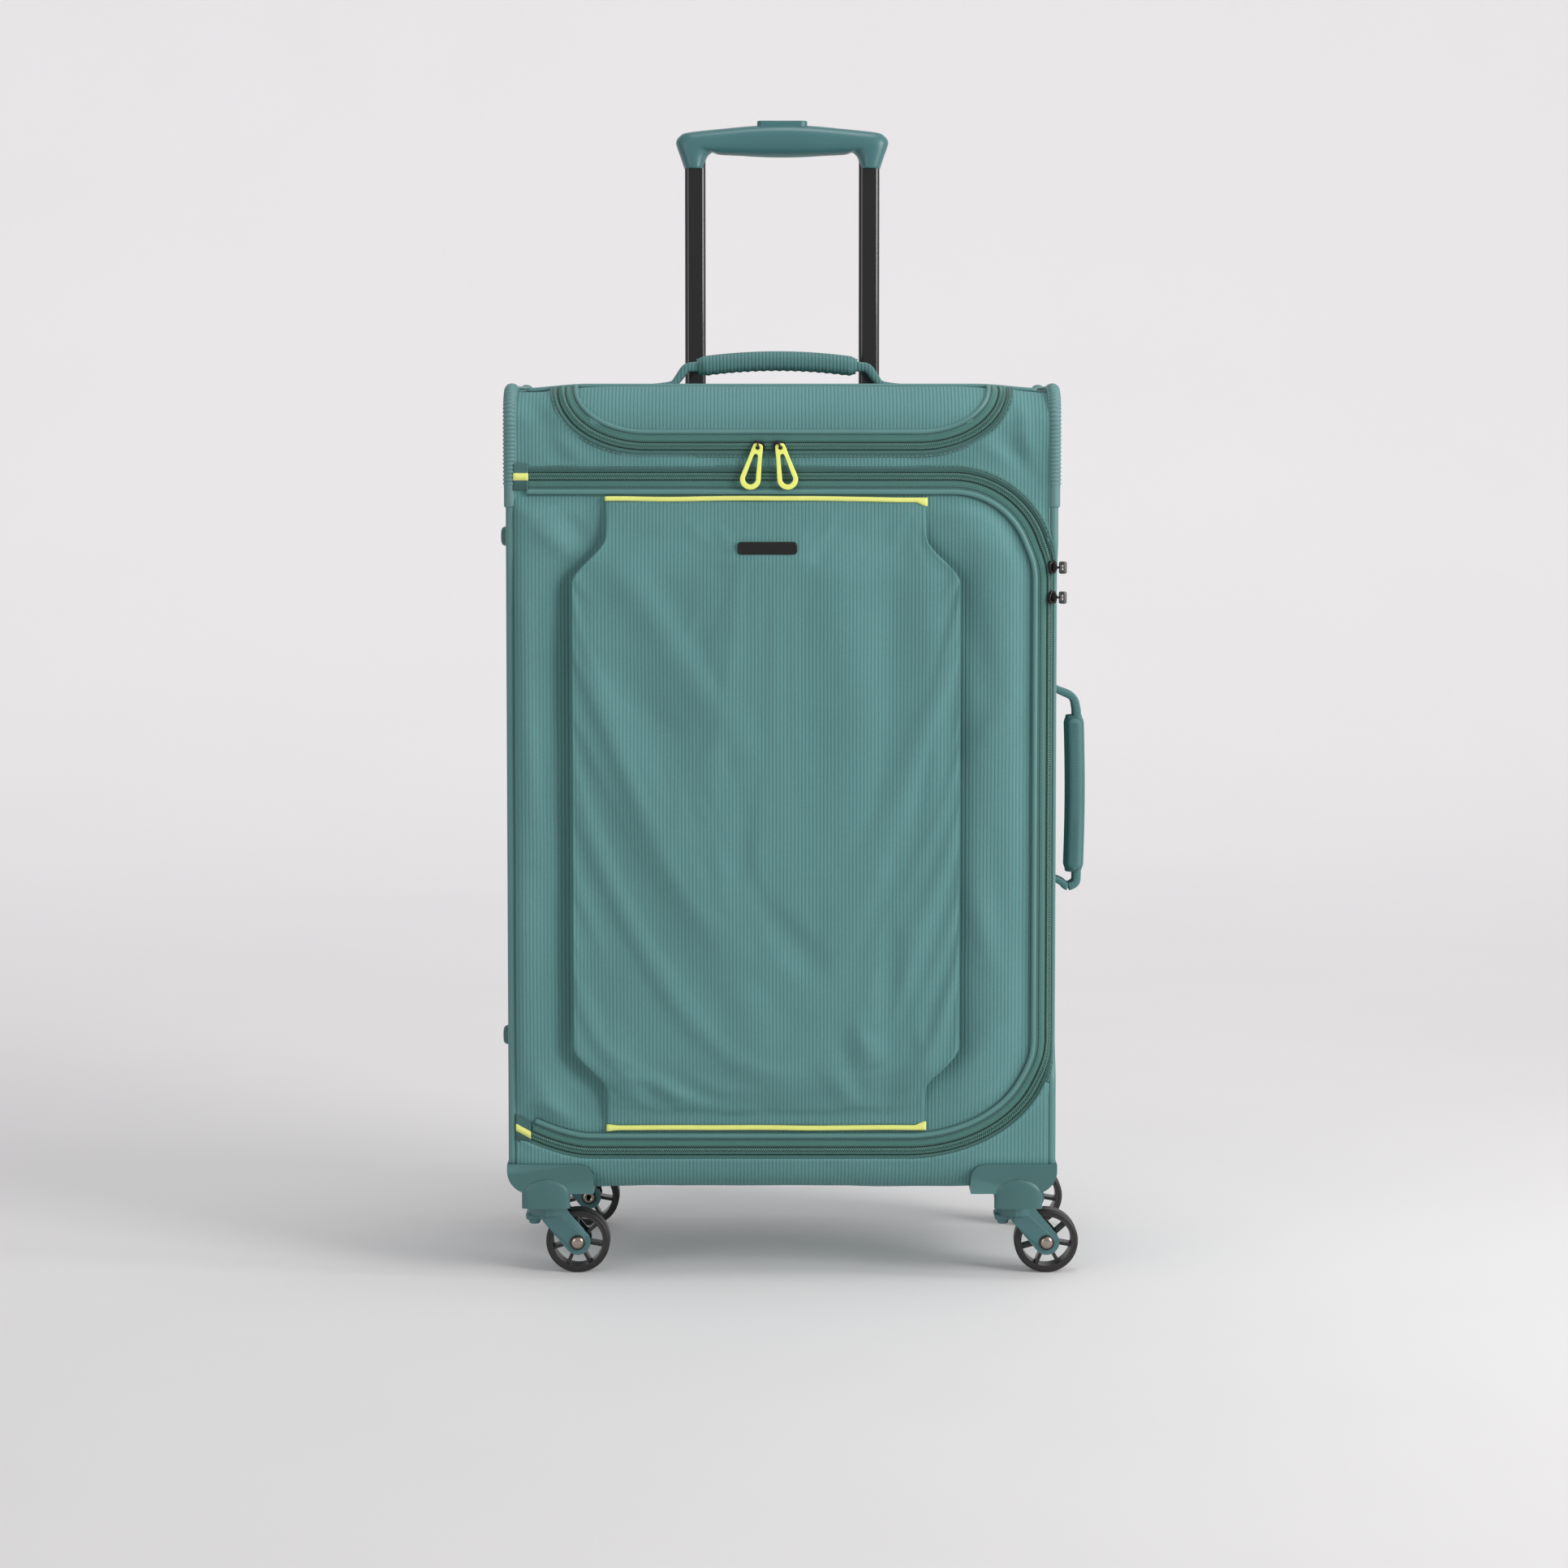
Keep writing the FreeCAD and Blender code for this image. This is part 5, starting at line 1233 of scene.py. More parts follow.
def make_trims():
    """Yellow binding along the pocket's upper and lower ends."""
    build = Build()
    for top in (True, False):
        z0 = POCKET_HIGH[2] + 1.9 if top else POCKET_LOW[2] - 1.6
        rows = []
        for x in np.linspace(MIDDLE - NARROW - 0.8, MIDDLE + NARROW + 1.0, 130):
            u = (x - MIDDLE) / NARROW
            z = z0 + (0.9 * ripple(x, z0, 3.1, 60.0) - 1.0 * (u > 0) * u if top else
                      0.8 * ripple(x, z0, 8.1, 70.0))
            flare = 1.6 * ease((u - 0.93) / 0.07)
            reach = 1.9 + flare if top else 2.0 + flare + 0.8 * ease((-u - 0.93) / 0.07)
            off = 2.6 + 0.5 * ripple(x, z0, 5.0, 30.0)
            ring = []
            for a in turns(10):
                ring.append(front_point(x, z + reach * math.sin(a) - (flare if top else -flare),
                                        off + 1.1 * math.cos(a)))
            rows.append(ring)
        build.rows(rows, True, caps=True)
    build.finish("pocket_binding", "lid", YELLOW, "yellow_trim", ("pocket_trim",))


def extruded(name, outer, holes, depth, bevel, matrix, body, material, slot, replaced=()):
    """Flat moulding with rounded edges from an outline and its holes, in its own plane."""
    curve = bpy.data.curves.new(name, "CURVE")
    curve.dimensions = "2D"
    curve.fill_mode = "BOTH"
    curve.extrude = (depth / 2 - bevel) * MM
    curve.bevel_depth = bevel * MM
    curve.bevel_resolution = 3
    curve.offset = -bevel * MM
    for points in [outer] + list(holes):
        spline = curve.splines.new("POLY")
        spline.points.add(len(points) - 1)
        for target, (x, y) in zip(spline.points, points):
            target.co = (x * MM, y * MM, 0, 1)
        spline.use_cyclic_u = True
    holder = bpy.data.objects.new(name + "_outline", curve)
    bpy.context.scene.collection.objects.link(holder)
    graph = bpy.context.evaluated_depsgraph_get()
    mesh = bpy.data.meshes.new_from_object(holder.evaluated_get(graph))
    bpy.data.objects.remove(holder)
    bpy.data.curves.remove(curve)
    bm = bmesh.new()
    bm.from_mesh(mesh)
    bmesh.ops.remove_doubles(bm, verts=bm.verts, dist=1e-6)
    bmesh.ops.transform(bm, matrix=matrix, verts=bm.verts)
    bmesh.ops.recalc_face_normals(bm, faces=bm.faces)
    bm.to_mesh(mesh)
    bm.free()
    mesh.materials.clear()
    mesh.materials.append(material)
    for polygon in mesh.polygons:        # the rounded edges are smooth, the flat faces stay flat
        polygon.use_smooth = polygon.area < 4e-6
    obj = bpy.data.objects.new(name, mesh)
    bpy.context.scene.collection.objects.link(obj)
    return place(obj, body, replaced)


def basis(right, up, origin):
    """Matrix that lays a flat outline's X and Y along two directions, at a point in mm."""
    right = Vector(right).normalized()
    up = Vector(up).normalized()
    out = right.cross(up)
    made = Matrix((right, up, out)).transposed().to_4x4()
    made.translation = Vector(origin) * MM
    return made


def rounded_outline(width, height, radius, count=6):
    """Points round a rectangle with rounded corners."""
    x, y = width / 2 - radius, height / 2 - radius
    points = []
    for cx, cy, start in ((x, y, 0), (-x, y, 90), (-x, -y, 180), (x, -y, 270)):
        points += quarter((cx, cy), radius, radius, start, start + 90, count)
    return points


def make_badge():
    """Blank black badge: a raised plate with a slim rim."""
    low, high = span("badge")
    centre = BADGE_MIDDLE
    y = FRONT - 0.4 - max(pocket_off(centre[0] + dx, centre[2]) for dx in (-20, 0, 20))
    width, _, height = high - low
    up = (0, -0.03, 1)                   # leans back with the pocket
    extruded("badge_plate", rounded_outline(width, height, 3.0), [], 1.6, 0.5,
             basis(X_AXIS, up, (centre[0], y - 0.6, centre[2])), "lid", BADGE, "badge_black",
             ("badge",))
    extruded("badge_rim", rounded_outline(width - 1.0, height - 1.0, 2.6),
             [rounded_outline(width - 3.4, height - 3.4, 1.6)], 1.0, 0.3,
             basis(X_AXIS, up, (centre[0], y - 1.5, centre[2])), "lid", BADGE, "badge_black")


# --- flap -----------------------------------------------------------------------------------------
def make_flap():
    """Flap cloth over the round top edge, slightly full."""
    xs = np.linspace(-FLAP_HALF, FLAP_HALF, 150)
    ss = np.linspace(height_to_cloth(FLAP_FOOT), TOP - ROUND + ROUND_RUN - 1.5, 36)

    def surface(x, s):
        polygon_in = min(s - height_to_cloth(FLAP_FOOT), 60) / 30.0
        side = (FLAP_HALF - abs(x)) / 40.0
        off = 0.4 + 1.6 * ease(min(polygon_in, side)) + 0.5 * ripple(x, s, 21.0, 60.0)
        off -= 1.6 * ease((s - ss[-1] + 7.0) / 7.0)
        return front_point(x, s, off)

    rows, keep = trimmed_sheet(xs, ss, [(flap_polygon(0.8), True)], surface)
    build = Build()
    build.rows(rows, keep=keep)
    thicken(build.finish("flap_cloth", "top_flap", SHELL, "shell_fabric", ("top_flap",)), 2.2)


def make_zips():
    """All four zip halves and the sewn ends of the main zip."""
    zip_half("main_zip_outer", MAIN_LINE, 1, "case", "main_zip_body_half", HEM + 3.0)
    zip_half("main_zip_inner", MAIN_LINE, -1, "lid", "lid_zip_half", TAPE)
    zip_half("flap_zip_outer", FLAP_LINE, 1, "case", "top_zip_body_half", HEM + 3.0, 1.6, 0.3)
    zip_half("flap_zip_inner", FLAP_LINE, -1, "top_flap", "flap_zip_half", TAPE, 1.6, 0.3)
    build = Build()
    stripes = Build()
    left, right = -HALF + 2.6, ZIP_LEFT + 1.2
    for line_end, tilt in ((MAIN_LINE.points[0], 0.0), (MAIN_LINE.points[-1], -0.55)):
        z0 = line_end[1]
        for target, z_low, z_high, under, over in ((build, -10.5, 9.8, 0.3, 2.3),
                                                   (stripes, -3.2, 2.4, 2.2, 2.8)):
            corners = ((z_low, under), (z_low, over), (z_high, over), (z_high, under))
            rows = []
            for x in np.linspace(left, right, 8):
                lean = tilt * (x - right)
                rows.append([front_point(x, z0 + z + lean, off) for z, off in corners])
            target.rows(rows, True, caps=True)
        for z in np.arange(-9.5, 9.0, 3.2):
            a = front_point(right - 1.0, z0 + z - 1.0, 2.4)
            b = front_point(right - 1.0, z0 + z + 1.0, 2.4)
            capsule(build, a, b, 0.3, 5, 1)
    build.finish("zip_end_patches", None, [BINDING, THREAD], "zip_tape", ("zip_end_tabs",),
                 blend=LID_HINGE)
    stripes.finish("zip_end_stripes", None, YELLOW, "yellow_trim", blend=LID_HINGE)


# --- sliders and pulls ------------------------------------------------------------------------
SLIDER_SHIELD = ((-2.4, 5.2), (2.4, 5.2), (4.2, 3.2), (4.4, 0.6), (3.0, -3.6), (1.6, -5.2),
                 (-1.6, -5.2), (-3.0, -3.6), (-4.4, 0.6), (-4.2, 3.2))


def smooth_outline(points, rounds=2):
    """Cut the corners of an outline so that it runs smoothly."""
    points = [np.array(p, dtype=float) for p in points]
    for _ in range(rounds):
        cut = []
        for a, b in zip(points, points[1:] + points[:1]):
            cut += [a * 0.78 + b * 0.22, a * 0.22 + b * 0.78]
        points = cut
    return [tuple(p) for p in points]


def make_top_sliders():
    """Black flap sliders with their bridges, ring links and yellow teardrop pulls."""
    for name, sign in (("left", -1), ("right", 1)):
        body = "top_slider_" + name
        x, _, z = centre_of(body)
        back = span(body)[1][1]
        sunk = 1.3 if sign > 0 else 1.5
        extruded("flap_slider_" + name, smooth_outline(SLIDER_SHIELD), [], 2.4, 0.6,
                 basis(Z_AXIS, -X_AXIS, (x, back - sunk, z)), body, BLACK_ENAMEL, "slider_black",
                 (body,))
        arch = [(x + 3.0 * math.cos(a), back - 2.2 - 2.0 * math.sin(a), z + 1.2)
                for a in np.linspace(0, math.pi, 14)]
        solid(tube_rows(arch, 0.9, 8), "flap_bridge_" + name, body, BLACK_ENAMEL, "slider_black")
        make_pull(name, sign)


def make_pull(name, sign):
    """Yellow teardrop pull with its slot, hung from a black ring, leaning outwards."""
    body = "top_pull_" + name
    lean = math.radians(13.0) * sign
    x = centre_of("top_slider_" + name)[0]
    y = centre_of(body)[1]
    top = span(body)[1][2]
    length = 36.0
    outer = [(-4.0, -2.2), (-3.0, -0.4), (0, 0.2), (3.0, -0.4), (4.0, -2.2), (5.2, -12.0)]
    outer.append((7.4, -24.0))
    outer += quarter((0, -length + 8.0), 8.0, 8.0, 0, -180, 18)
    outer += [(-7.4, -24.0), (-5.2, -12.0)]
    slot = [(-1.7, -9.0), (0, -8.0), (1.7, -9.0), (2.6, -16.0), (3.9, -26.0)]
    slot += quarter((0, -length + 8.6), 4.3, 4.6, 0, -180, 12)
    slot += [(-3.9, -26.0), (-2.6, -16.0)]
    eye = quarter((0, -3.4), 1.5, 1.4, 0, 345, 14)
    up = (-math.sin(lean), 0, math.cos(lean))
    right = (math.cos(lean), 0, math.sin(lean))
    extruded("flap_pull_" + name, smooth_outline(outer, 1), [smooth_outline(slot, 1), eye], 2.3,
             0.55, basis(right, up, (x, y, top)), body, YELLOW_SOFT, "pull_yellow", (body,))
    ring = Build()
    centre = np.array((x, y, top)) + np.array(up) * -1.6
    loop = []
    for a in turns(26):
        loop.append(centre + np.array(up) * 2.7 * math.cos(a) + Y_AXIS * 2.0 * math.sin(a)
                    + np.array(right) * 0.5 * math.sin(2 * a))
    ring.rows(tube_rows(loop, 0.75, 8, closed=True), True, True)
    ring.finish("flap_link_" + name, body, BLACK_ENAMEL, "slider_black")


def make_main_sliders():
    """Main zip's sliders on the right corner, each with a black loop and a square metal tab."""
    out = np.array((math.sqrt(0.5), -math.sqrt(0.5), 0))
    side = np.array((math.sqrt(0.5), math.sqrt(0.5), 0))
    for name, flip in (("upper", 1), ("lower", -1)):
        body = "main_slider_" + name
        centre = centre_of(body)
        up = np.array((0, 0, flip))
        right = np.cross(up, out)
        extruded("main_slider_body_" + name, smooth_outline(SLIDER_SHIELD), [], 2.6, 0.6,
                 basis(right, up, centre - out * 1.6), body, BLACK_ENAMEL, "slider_black",
                 (body,))
        arch = [centre + out * 2.2 * math.sin(a) + up * 2.8 * math.cos(a)
                for a in np.linspace(0, math.pi, 14)]
        solid(tube_rows(arch, 1.0, 8), "main_bridge_" + name, body, BLACK_ENAMEL, "slider_black")
        pull = "main_pull_" + name
        middle = centre_of(pull)
        link = Build()
        for shift in (-2.2, 2.2):
            arm = [middle - out * 6.4 + side * shift, middle - out * 1.0 + side * shift]
            capsule(link, arm[0], arm[1], 0.85, 8)
        capsule(link, middle - out * 6.4 - side * 2.2, middle - out * 6.4 + side * 2.2, 0.85, 8)
        link.finish("main_link_" + name, pull, BLACK_ENAMEL, "slider_black")
        tab = rounded_outline(6.4, 9.4, 1.5)
        hole = rounded_outline(2.6, 4.6, 0.8)
        extruded("main_tab_" + name, tab, [hole], 2.6, 0.5,
                 basis(out, Z_AXIS, middle + out * 1.6), pull, GUNMETAL, "pull_metal",
                 (pull,))


# --- carry handles --------------------------------------------------------------------------------
HANDLE_WIDTH = 25.0
STRAP_SECTION = ((-1, -0.5), (-0.93, -0.9), (-0.8, -1), (-0.4, -1), (0, -1), (0.4, -1),
                 (0.8, -1), (0.93, -0.9), (1, -0.5), (1, 0.5), (0.93, 0.9), (0.8, 1),
                 (0.4, 1), (0, 1), (-0.4, 1), (-0.8, 1), (-0.93, 0.9), (-1, 0.5))


def oblong(angle, power):
    """Point of a rounded rectangle of half sizes 1, fuller than an ellipse where power < 1."""
    c, s = math.cos(angle), math.sin(angle)
    return math.copysign(abs(c) ** power, c), math.copysign(abs(s) ** power, s)


def grip_rows(line, across, out, thick, wave):
    """Rings of a soft oblong section along a line; out points away from the hand's gap, and
    wave puckers the side towards the hand."""
    rows = []
    count = len(line)
    tangents = along(line)
    for index, point in enumerate(line):
        t = index / (count - 1)
        shrink = 0.80 + 0.20 * ease(min(t, 1 - t) / 0.05)
        normal = out - tangents[index] * np.dot(out, tangents[index])
        normal = normal / np.linalg.norm(normal)
        ring = []
        for a in turns(36):
            u, v = oblong(a, 0.72)
            u, v = u * HANDLE_WIDTH / 2, v * thick / 2
            if v < 0:
                v *= 1 + 0.04 * math.sin(index * wave) * abs(math.sin(a))
            ring.append(point + across * u * shrink + normal * v * shrink)
        rows.append(ring)
    return rows


def strap_rows(line, across, out, width, thick):
    """Rings of flat webbing along a line; its width and thickness may change along it."""
    rows = []
    tangents = along(line)
    widths = np.broadcast_to(np.asarray(width, dtype=float), (len(line),))
    depths = np.broadcast_to(np.asarray(thick, dtype=float), (len(line),))
    for point, tangent, w, depth in zip(line, tangents, widths, depths):
        normal = np.cross(tangent, across)
        if np.dot(normal, out) < 0:
            normal = -normal
        normal = normal / np.linalg.norm(normal)
        ring = []
        for u, v in STRAP_SECTION:
            ring.append(point + across * u * w / 2 + normal * v * depth / 2)
        rows.append(ring)
    return rows


def spline(points, count):
    """Smooth line through a few points (Catmull-Rom)."""
    p = [np.array(q, dtype=float) for q in points]
    p = [2 * p[0] - p[1]] + p + [2 * p[-1] - p[-2]]
    out = []
    spans = len(p) - 3
    for k in np.linspace(0, spans, count):
        i = min(int(k), spans - 1)
        t = k - i
        a, b, c, d = p[i:i + 4]
        out.append(0.5 * (2 * b + (c - a) * t + (2 * a - 5 * b + 4 * c - d) * t ** 2
                          + (3 * b - 3 * c + d - a) * t ** 3))
    return np.array(out)


def grip_pad(name, line, out, thick, wave, seam, dash, material):
    """Padded grip of a carry handle along its line, with the stitched seam of its cover."""
    grip = Build()
    grip.rows(grip_rows(np.array(line), Y_AXIS, out, thick, wave), True, caps=True)
    for index in range(6, 134, 3):
        point = line[index] + np.array(seam)
        capsule(grip, point - dash * 1.1, point + dash * 1.1, 0.35, 5, 1)
    obj = grip.finish(name + "_grip_pad", name + "_handle", [material, THREAD], "handle_fabric",
                      (name + "_handle",))


def make_top_handle():
    """Top handle: arched grip, webbing that bends down to its sewn patches."""
    x0, y0, _ = centre_of("top_handle")
    top = span("top_handle")[1][2]
    half = 63.0
    line = [np.array((x0 + x, y0, top - 8.6 - 4.6 * (x / half) ** 2))
            for x in np.linspace(-half, half, 140)]
    grip_pad("top", line, Z_AXIS, 15.6, 0.9, (0, -6.0, -6.8), X_AXIS, HANDLE_RIBS)
    build = Build()
    for sign in (-1, 1):
        end = line[0] if sign < 0 else line[-1]
        base = TOP + 2.6
        points = [end + np.array((-sign * 8.0, 0, 0.6)), end + np.array((sign * 1.0, 0, 0.2)),
                  end + np.array((sign * 9.0, 0, -1.2)), (x0 + sign * 78, y0, base + 5.5),
                  (x0 + sign * 82.5, y0, base + 0.8), (x0 + sign * 92, y0, base - 0.4),
                  (x0 + sign * 104, y0, base - 0.6)]
        path = spline(points, 46)
        along_it = np.linspace(0, 1, 46)
        widths = np.interp(along_it, [0, 0.3, 1], [18, 20, 27])
        thick = np.interp(along_it, [0, 0.35, 0.7, 1], [8.5, 7.0, 5.0, 2.2])
        build.rows(strap_rows(path, Y_AXIS, Z_AXIS, widths, thick), True, caps=True)
    start = (x0 * MM, y0 * MM, (TOP + 2.6) * MM)
    end = (x0 * MM, y0 * MM, (TOP + 14.0) * MM)
    build.finish("top_handle_webbing", None, HANDLE_RIBS, "handle_fabric",
                 blend=("case", "top_handle", start, end))


def make_side_handle():
    """Side handle: slightly bowed grip on webbing, the lower end curled in an S."""
    y0 = 0.0
    top_z, foot_z = 431.0, 305.5
    grip_x = span("side_handle")[1][0] - 8.3
    line = [np.array((grip_x + 1.2 * math.sin(math.pi * t) - 1.2, y0, top_z + (foot_z - top_z) * t))
            for t in np.linspace(0, 1, 140)]
    grip_pad("side", line, X_AXIS, 16.0, 0.0, (4.0, -9.6, 0), Z_AXIS, HANDLE_SIDE_SHADED)
    build = Build()
    base = HALF + 2.4
    upper = [(base - 0.6, y0, 476), (base + 0.2, y0, 466), (base + 1.2, y0, 458.5),
             (base + 8, y0, 452), (grip_x - 3.0, y0, 446), (grip_x + 0.5, y0, 437),
             (grip_x + 1.0, y0, 424)]
    lower = [(grip_x + 0.8, y0, 313), (grip_x + 1.4, y0, 303), (grip_x + 0.4, y0, 296.5),
             (grip_x - 6.0, y0, 293.5), (grip_x - 11.5, y0, 297.5), (base + 5.0, y0, 300.0),
             (base + 1.6, y0, 296.0), (base + 0.2, y0, 288), (base - 0.6, y0, 276)]
    for points in (upper, lower):
        path = spline(points, 46)
        thick = np.interp(np.linspace(0, 1, 46), [0, 0.3, 0.6, 1], [2.2, 4.0, 6.0, 7.0])
        if points is lower:
            thick = thick[::-1]
        build.rows(strap_rows(path, Y_AXIS, X_AXIS, 19.0, thick), True, caps=True)
    start = (base * MM, 0, 0.377)
    end = ((base + 9) * MM, 0, 0.377)
    build.finish("side_handle_webbing", None, HANDLE_SIDE_SHADED, "handle_fabric",
                 blend=("case", "side_handle", start, end))


def make_anchors():
    """Sewn patches at the handles' roots, with boxed stitching."""
    build = Build()
    x0, y0, _ = centre_of("top_handle")
    for sign in (-1, 1):
        add_patch(build, np.array((x0 + sign * 91, y0, TOP + 0.9)), X_AXIS, Z_AXIS)
    for z in (470.0, 282.0):
        add_patch(build, np.array((HALF + 1.6, 0, z)), Z_AXIS, X_AXIS)
    build.finish("handle_patches", "case", [HANDLE_RIBS, THREAD], "handle_fabric",
                 ("handle_anchors",))


PATCH_LENGTH = 28.0
PATCH_WIDTH = 31.0


def add_patch(build, centre, along_way, out):
    """Pillow-edged patch with a stitched border."""
    rows = []
    for level, inset in ((-0.7, 0.0), (0.5, 0.0), (0.95, 0.8), (1.0, 3.0)):
        ring = []
        for u, v in rounded_outline(PATCH_LENGTH - 2 * inset, PATCH_WIDTH - 2 * inset,
                                    max(3.0 - inset, 0.6)):
            ring.append(centre + along_way * u + Y_AXIS * v + out * level)
        rows.append(ring)
    build.rows(rows, True, caps=True)
    stitches = resample(rounded_outline(PATCH_LENGTH - 5, PATCH_WIDTH - 5, 2.0), 3.0, True)
    border = [centre + along_way * u + Y_AXIS * v + out * 1.15 for u, v in stitches]
    for a, b in zip(border, border[1:] + border[:1]):
        way = (b - a) * 0.32
        capsule(build, a + way * 0.3, b - way, 0.3, 5, 1)


# --- trolley ----------------------------------------------------------------------------------
GRIP_SPANS = 119                         # rings along the grip, less one


def make_grip():
    """Moulded trolley grip: flared shoulders, arched bar and a soft finger pad beneath."""
    low, high = span("trolley_grip")
    y0 = (low[1] + high[1]) / 2
    top = high[2]
    half = high[0]
    arm = low[2]
    shoulder = [(-half + 7.0, arm), (-half + 4.0, arm + 9.0), (-half + 0.9, top - 17.5),
                (-half + 0.5, top - 13.2), (-half + 3.6, top - 9.0), (-half + 11.0, top - 6.0),
                (-44.0, top - 2.6), (-22.0, top - 0.7)]
    outer = spline(shoulder + [(0.0, top)] + [(-x, z) for x, z in shoulder[::-1]], 160)
    hollow = [(-64.0, arm), (-62.8, arm + 5.0), (-61.0, arm + 9.6), (-57.0, arm + 13.0),
              (-52.0, top - 24.0), (-44.0, top - 24.6), (-24.0, top - 25.4)]
    inner = spline(hollow + [(0.0, top - 25.8)] + [(-x, z) for x, z in hollow[::-1]], 160)
    outer, inner = (resample(line, along_length(line) / GRIP_SPANS) for line in (outer, inner))
    rows = []
    for high_point, low_point in zip(outer, inner):
        centre, reach = (high_point + low_point) / 2, (high_point - low_point) / 2
        ring = []
        for a in turns(40):
            u, v = oblong(a, 0.8)
            x, z = centre + reach * u
            ring.append((x, y0 + (high[1] - low[1]) / 2 * v, z))
        rows.append(ring)
    solid(rows, "grip_moulding", "trolley_inner", GRIP, "grip_plastic", ("trolley_grip",))
    rows = []
    for x in np.linspace(-50, 50, 60):
        t = x / 50
        drop = 1.0 * ease((1 - abs(t)) / 0.12)
        base = top - 24.2 + 1.4 * t * t - 1.6 * (1 - t * t)
        ring = []
        for a in np.linspace(200, 340, 15):
            ring.append((x, y0 + 11.6 * math.cos(math.radians(a)) * 1.03,
                         base + 8.6 + (8.2 + drop) * math.sin(math.radians(a))))
        ring += [(x, y0 + 8.0, base + 3.0), (x, y0 - 8.0, base + 3.0)]
        rows.append(ring)
    solid(rows, "grip_pad", "trolley_inner", GUARD, "grip_plastic")
    low, high = span("release_button")
    width, depth, _ = high - low
    extruded("button_cap", rounded_outline(width, depth, 6.0, 8), [], 6.0, 0.8,
             basis(X_AXIS, Y_AXIS, (0, y0, high[2] - 3.0)), "release_button", GRIP,
             "grip_plastic", ("release_button",))


def refined(node, name, body, material, bevel, segments=3, materials=None, sorter=None):
    """Copy of a CAD node's shape with moulded, rounded edges."""
    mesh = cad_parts[node].data.copy()
    bm = bmesh.new()
    bm.from_mesh(mesh)
    bmesh.ops.remove_doubles(bm, verts=bm.verts, dist=2e-6)
    bmesh.ops.dissolve_limit(bm, angle_limit=math.radians(1.0), verts=bm.verts, edges=bm.edges)
    bm.to_mesh(mesh)
    bm.free()
    mesh.materials.clear()
    for item in materials or [material]:
        mesh.materials.append(item)
    if sorter:
        for polygon in mesh.polygons:
            polygon.material_index = sorter(Vector(polygon.center) / MM)
    if mesh.has_custom_normals:
        mesh.attributes.remove(mesh.attributes["custom_normal"])
    for polygon in mesh.polygons:
        polygon.use_smooth = True
    obj = bpy.data.objects.new(name, mesh)
    bpy.context.scene.collection.objects.link(obj)
    bevelled(obj, bevel, segments)
    place(obj, body, (node,))
    weighted = obj.modifiers.new("normals", "WEIGHTED_NORMAL")
    weighted.keep_sharp = False
    return obj


def stem_place(caster):
    """Swivel axis of a caster in X and Y."""
    fork = centre_of(caster + "_fork")
    return math.copysign(STEM_X, fork[0]), fork[1]


def make_dome(caster):
    """Bulge moulded over the swivel boss on the housing's outer face."""
    low, high = span(caster + "_housing")
    stem_x, stem_y = stem_place(caster)
    sign = -1 if stem_y < 0 else 1
    face = low[1] if sign < 0 else high[1]
    rows = []
    for level in np.linspace(0, 1, 20):
        cap = max((level - 0.5) / 0.5, 0.0)
        width = 18.6 * math.sqrt(max(1 - cap * cap, 0.0))
        proud = 2.4 * (1 - 0.5 * cap * cap)
        z = low[2] + 1.0 + 23.0 * level
        rows.append([(stem_x + (width + 0.05) * math.cos(a),
                      face - sign * 3.0 + sign * (3.0 + proud) * math.sin(a) ** 0.6, z)
                     for a in np.linspace(0, math.pi, 29)])
    build = Build()
    build.rows(rows)
    build.finish(caster + "_dome", "case", HOUSING, "housing_plastic")


def make_fork_details(caster):
    """Step block under the crown, a raised panel on each arm and the axle's rivet heads."""
    stem_x, y = stem_place(caster)
    wheel = centre_of(caster + "_wheel")
    body = caster + "_caster"
    block = Build()
    for low_z, half, reach in ((38.5, 8.0, 15.0), (42.0, 11.0, 17.2)):
        rows = []
        for z, inset in ((low_z, 1.2), (low_z + 1.0, 0.3), (low_z + 2.4, 0.0), (low_z + 4.6, 0.0)):
            ring = [(stem_x - 10.5 + u, y + v, z) for u, v in
                    rounded_outline(2 * (reach - 10.5) - 2 * inset, 2 * half - 2 * inset, 2.6)]
            rows.append(ring)
        block.rows(rows, True, caps=True)
    block.finish(caster + "_step", body, FORK, "fork_plastic")
    run = np.array((wheel[0] - stem_x - 4.0, wheel[2] - 43.0))
    length = float(np.linalg.norm(run))
    run = run / length
    for sign in (-1, 1):
        origin = ((stem_x + 4.0 + wheel[0]) / 2, y + sign * 13.1, (43.0 + wheel[2]) / 2)
        right = (run[0], 0, run[1])
        up = np.cross((0, sign, 0), right)
        extruded("%s_panel_%d" % (caster, sign + 1),
                 rounded_outline(length + 12.0, 13.4, 6.4, 10), [], 1.3, 0.5,
                 basis(right, up, origin), body, FORK, "fork_plastic")
        profile = ((5.9, -0.2), (5.9, 0.5), (5.0, 0.6))
        head = ((4.9, 0.3), (4.5, 1.0), (3.6, 1.5), (2.2, 1.9), (0.1, 2.0))
        if not caster.startswith("front"):
            head = ((4.9, 0.3), (4.4, 1.3), (3.2, 1.6), (2.2, 1.1), (1.6, 0.2), (0.1, 0.1))
        for name, steps, material in (("ring", profile, WHEEL_RIM), ("head", head, NICKEL)):
            rows = []
            for r, out in steps:
                rows.append([(wheel[0] + r * math.cos(a), y + sign * (14.2 + out),
                              wheel[2] + r * math.sin(a)) for a in turns(28)])
            solid(rows, "%s_%s_%d" % (caster, name, sign + 1), body, material, "pin_steel")


TYRE_BORE = 20.9                         # radius at which the wheel's rim ends


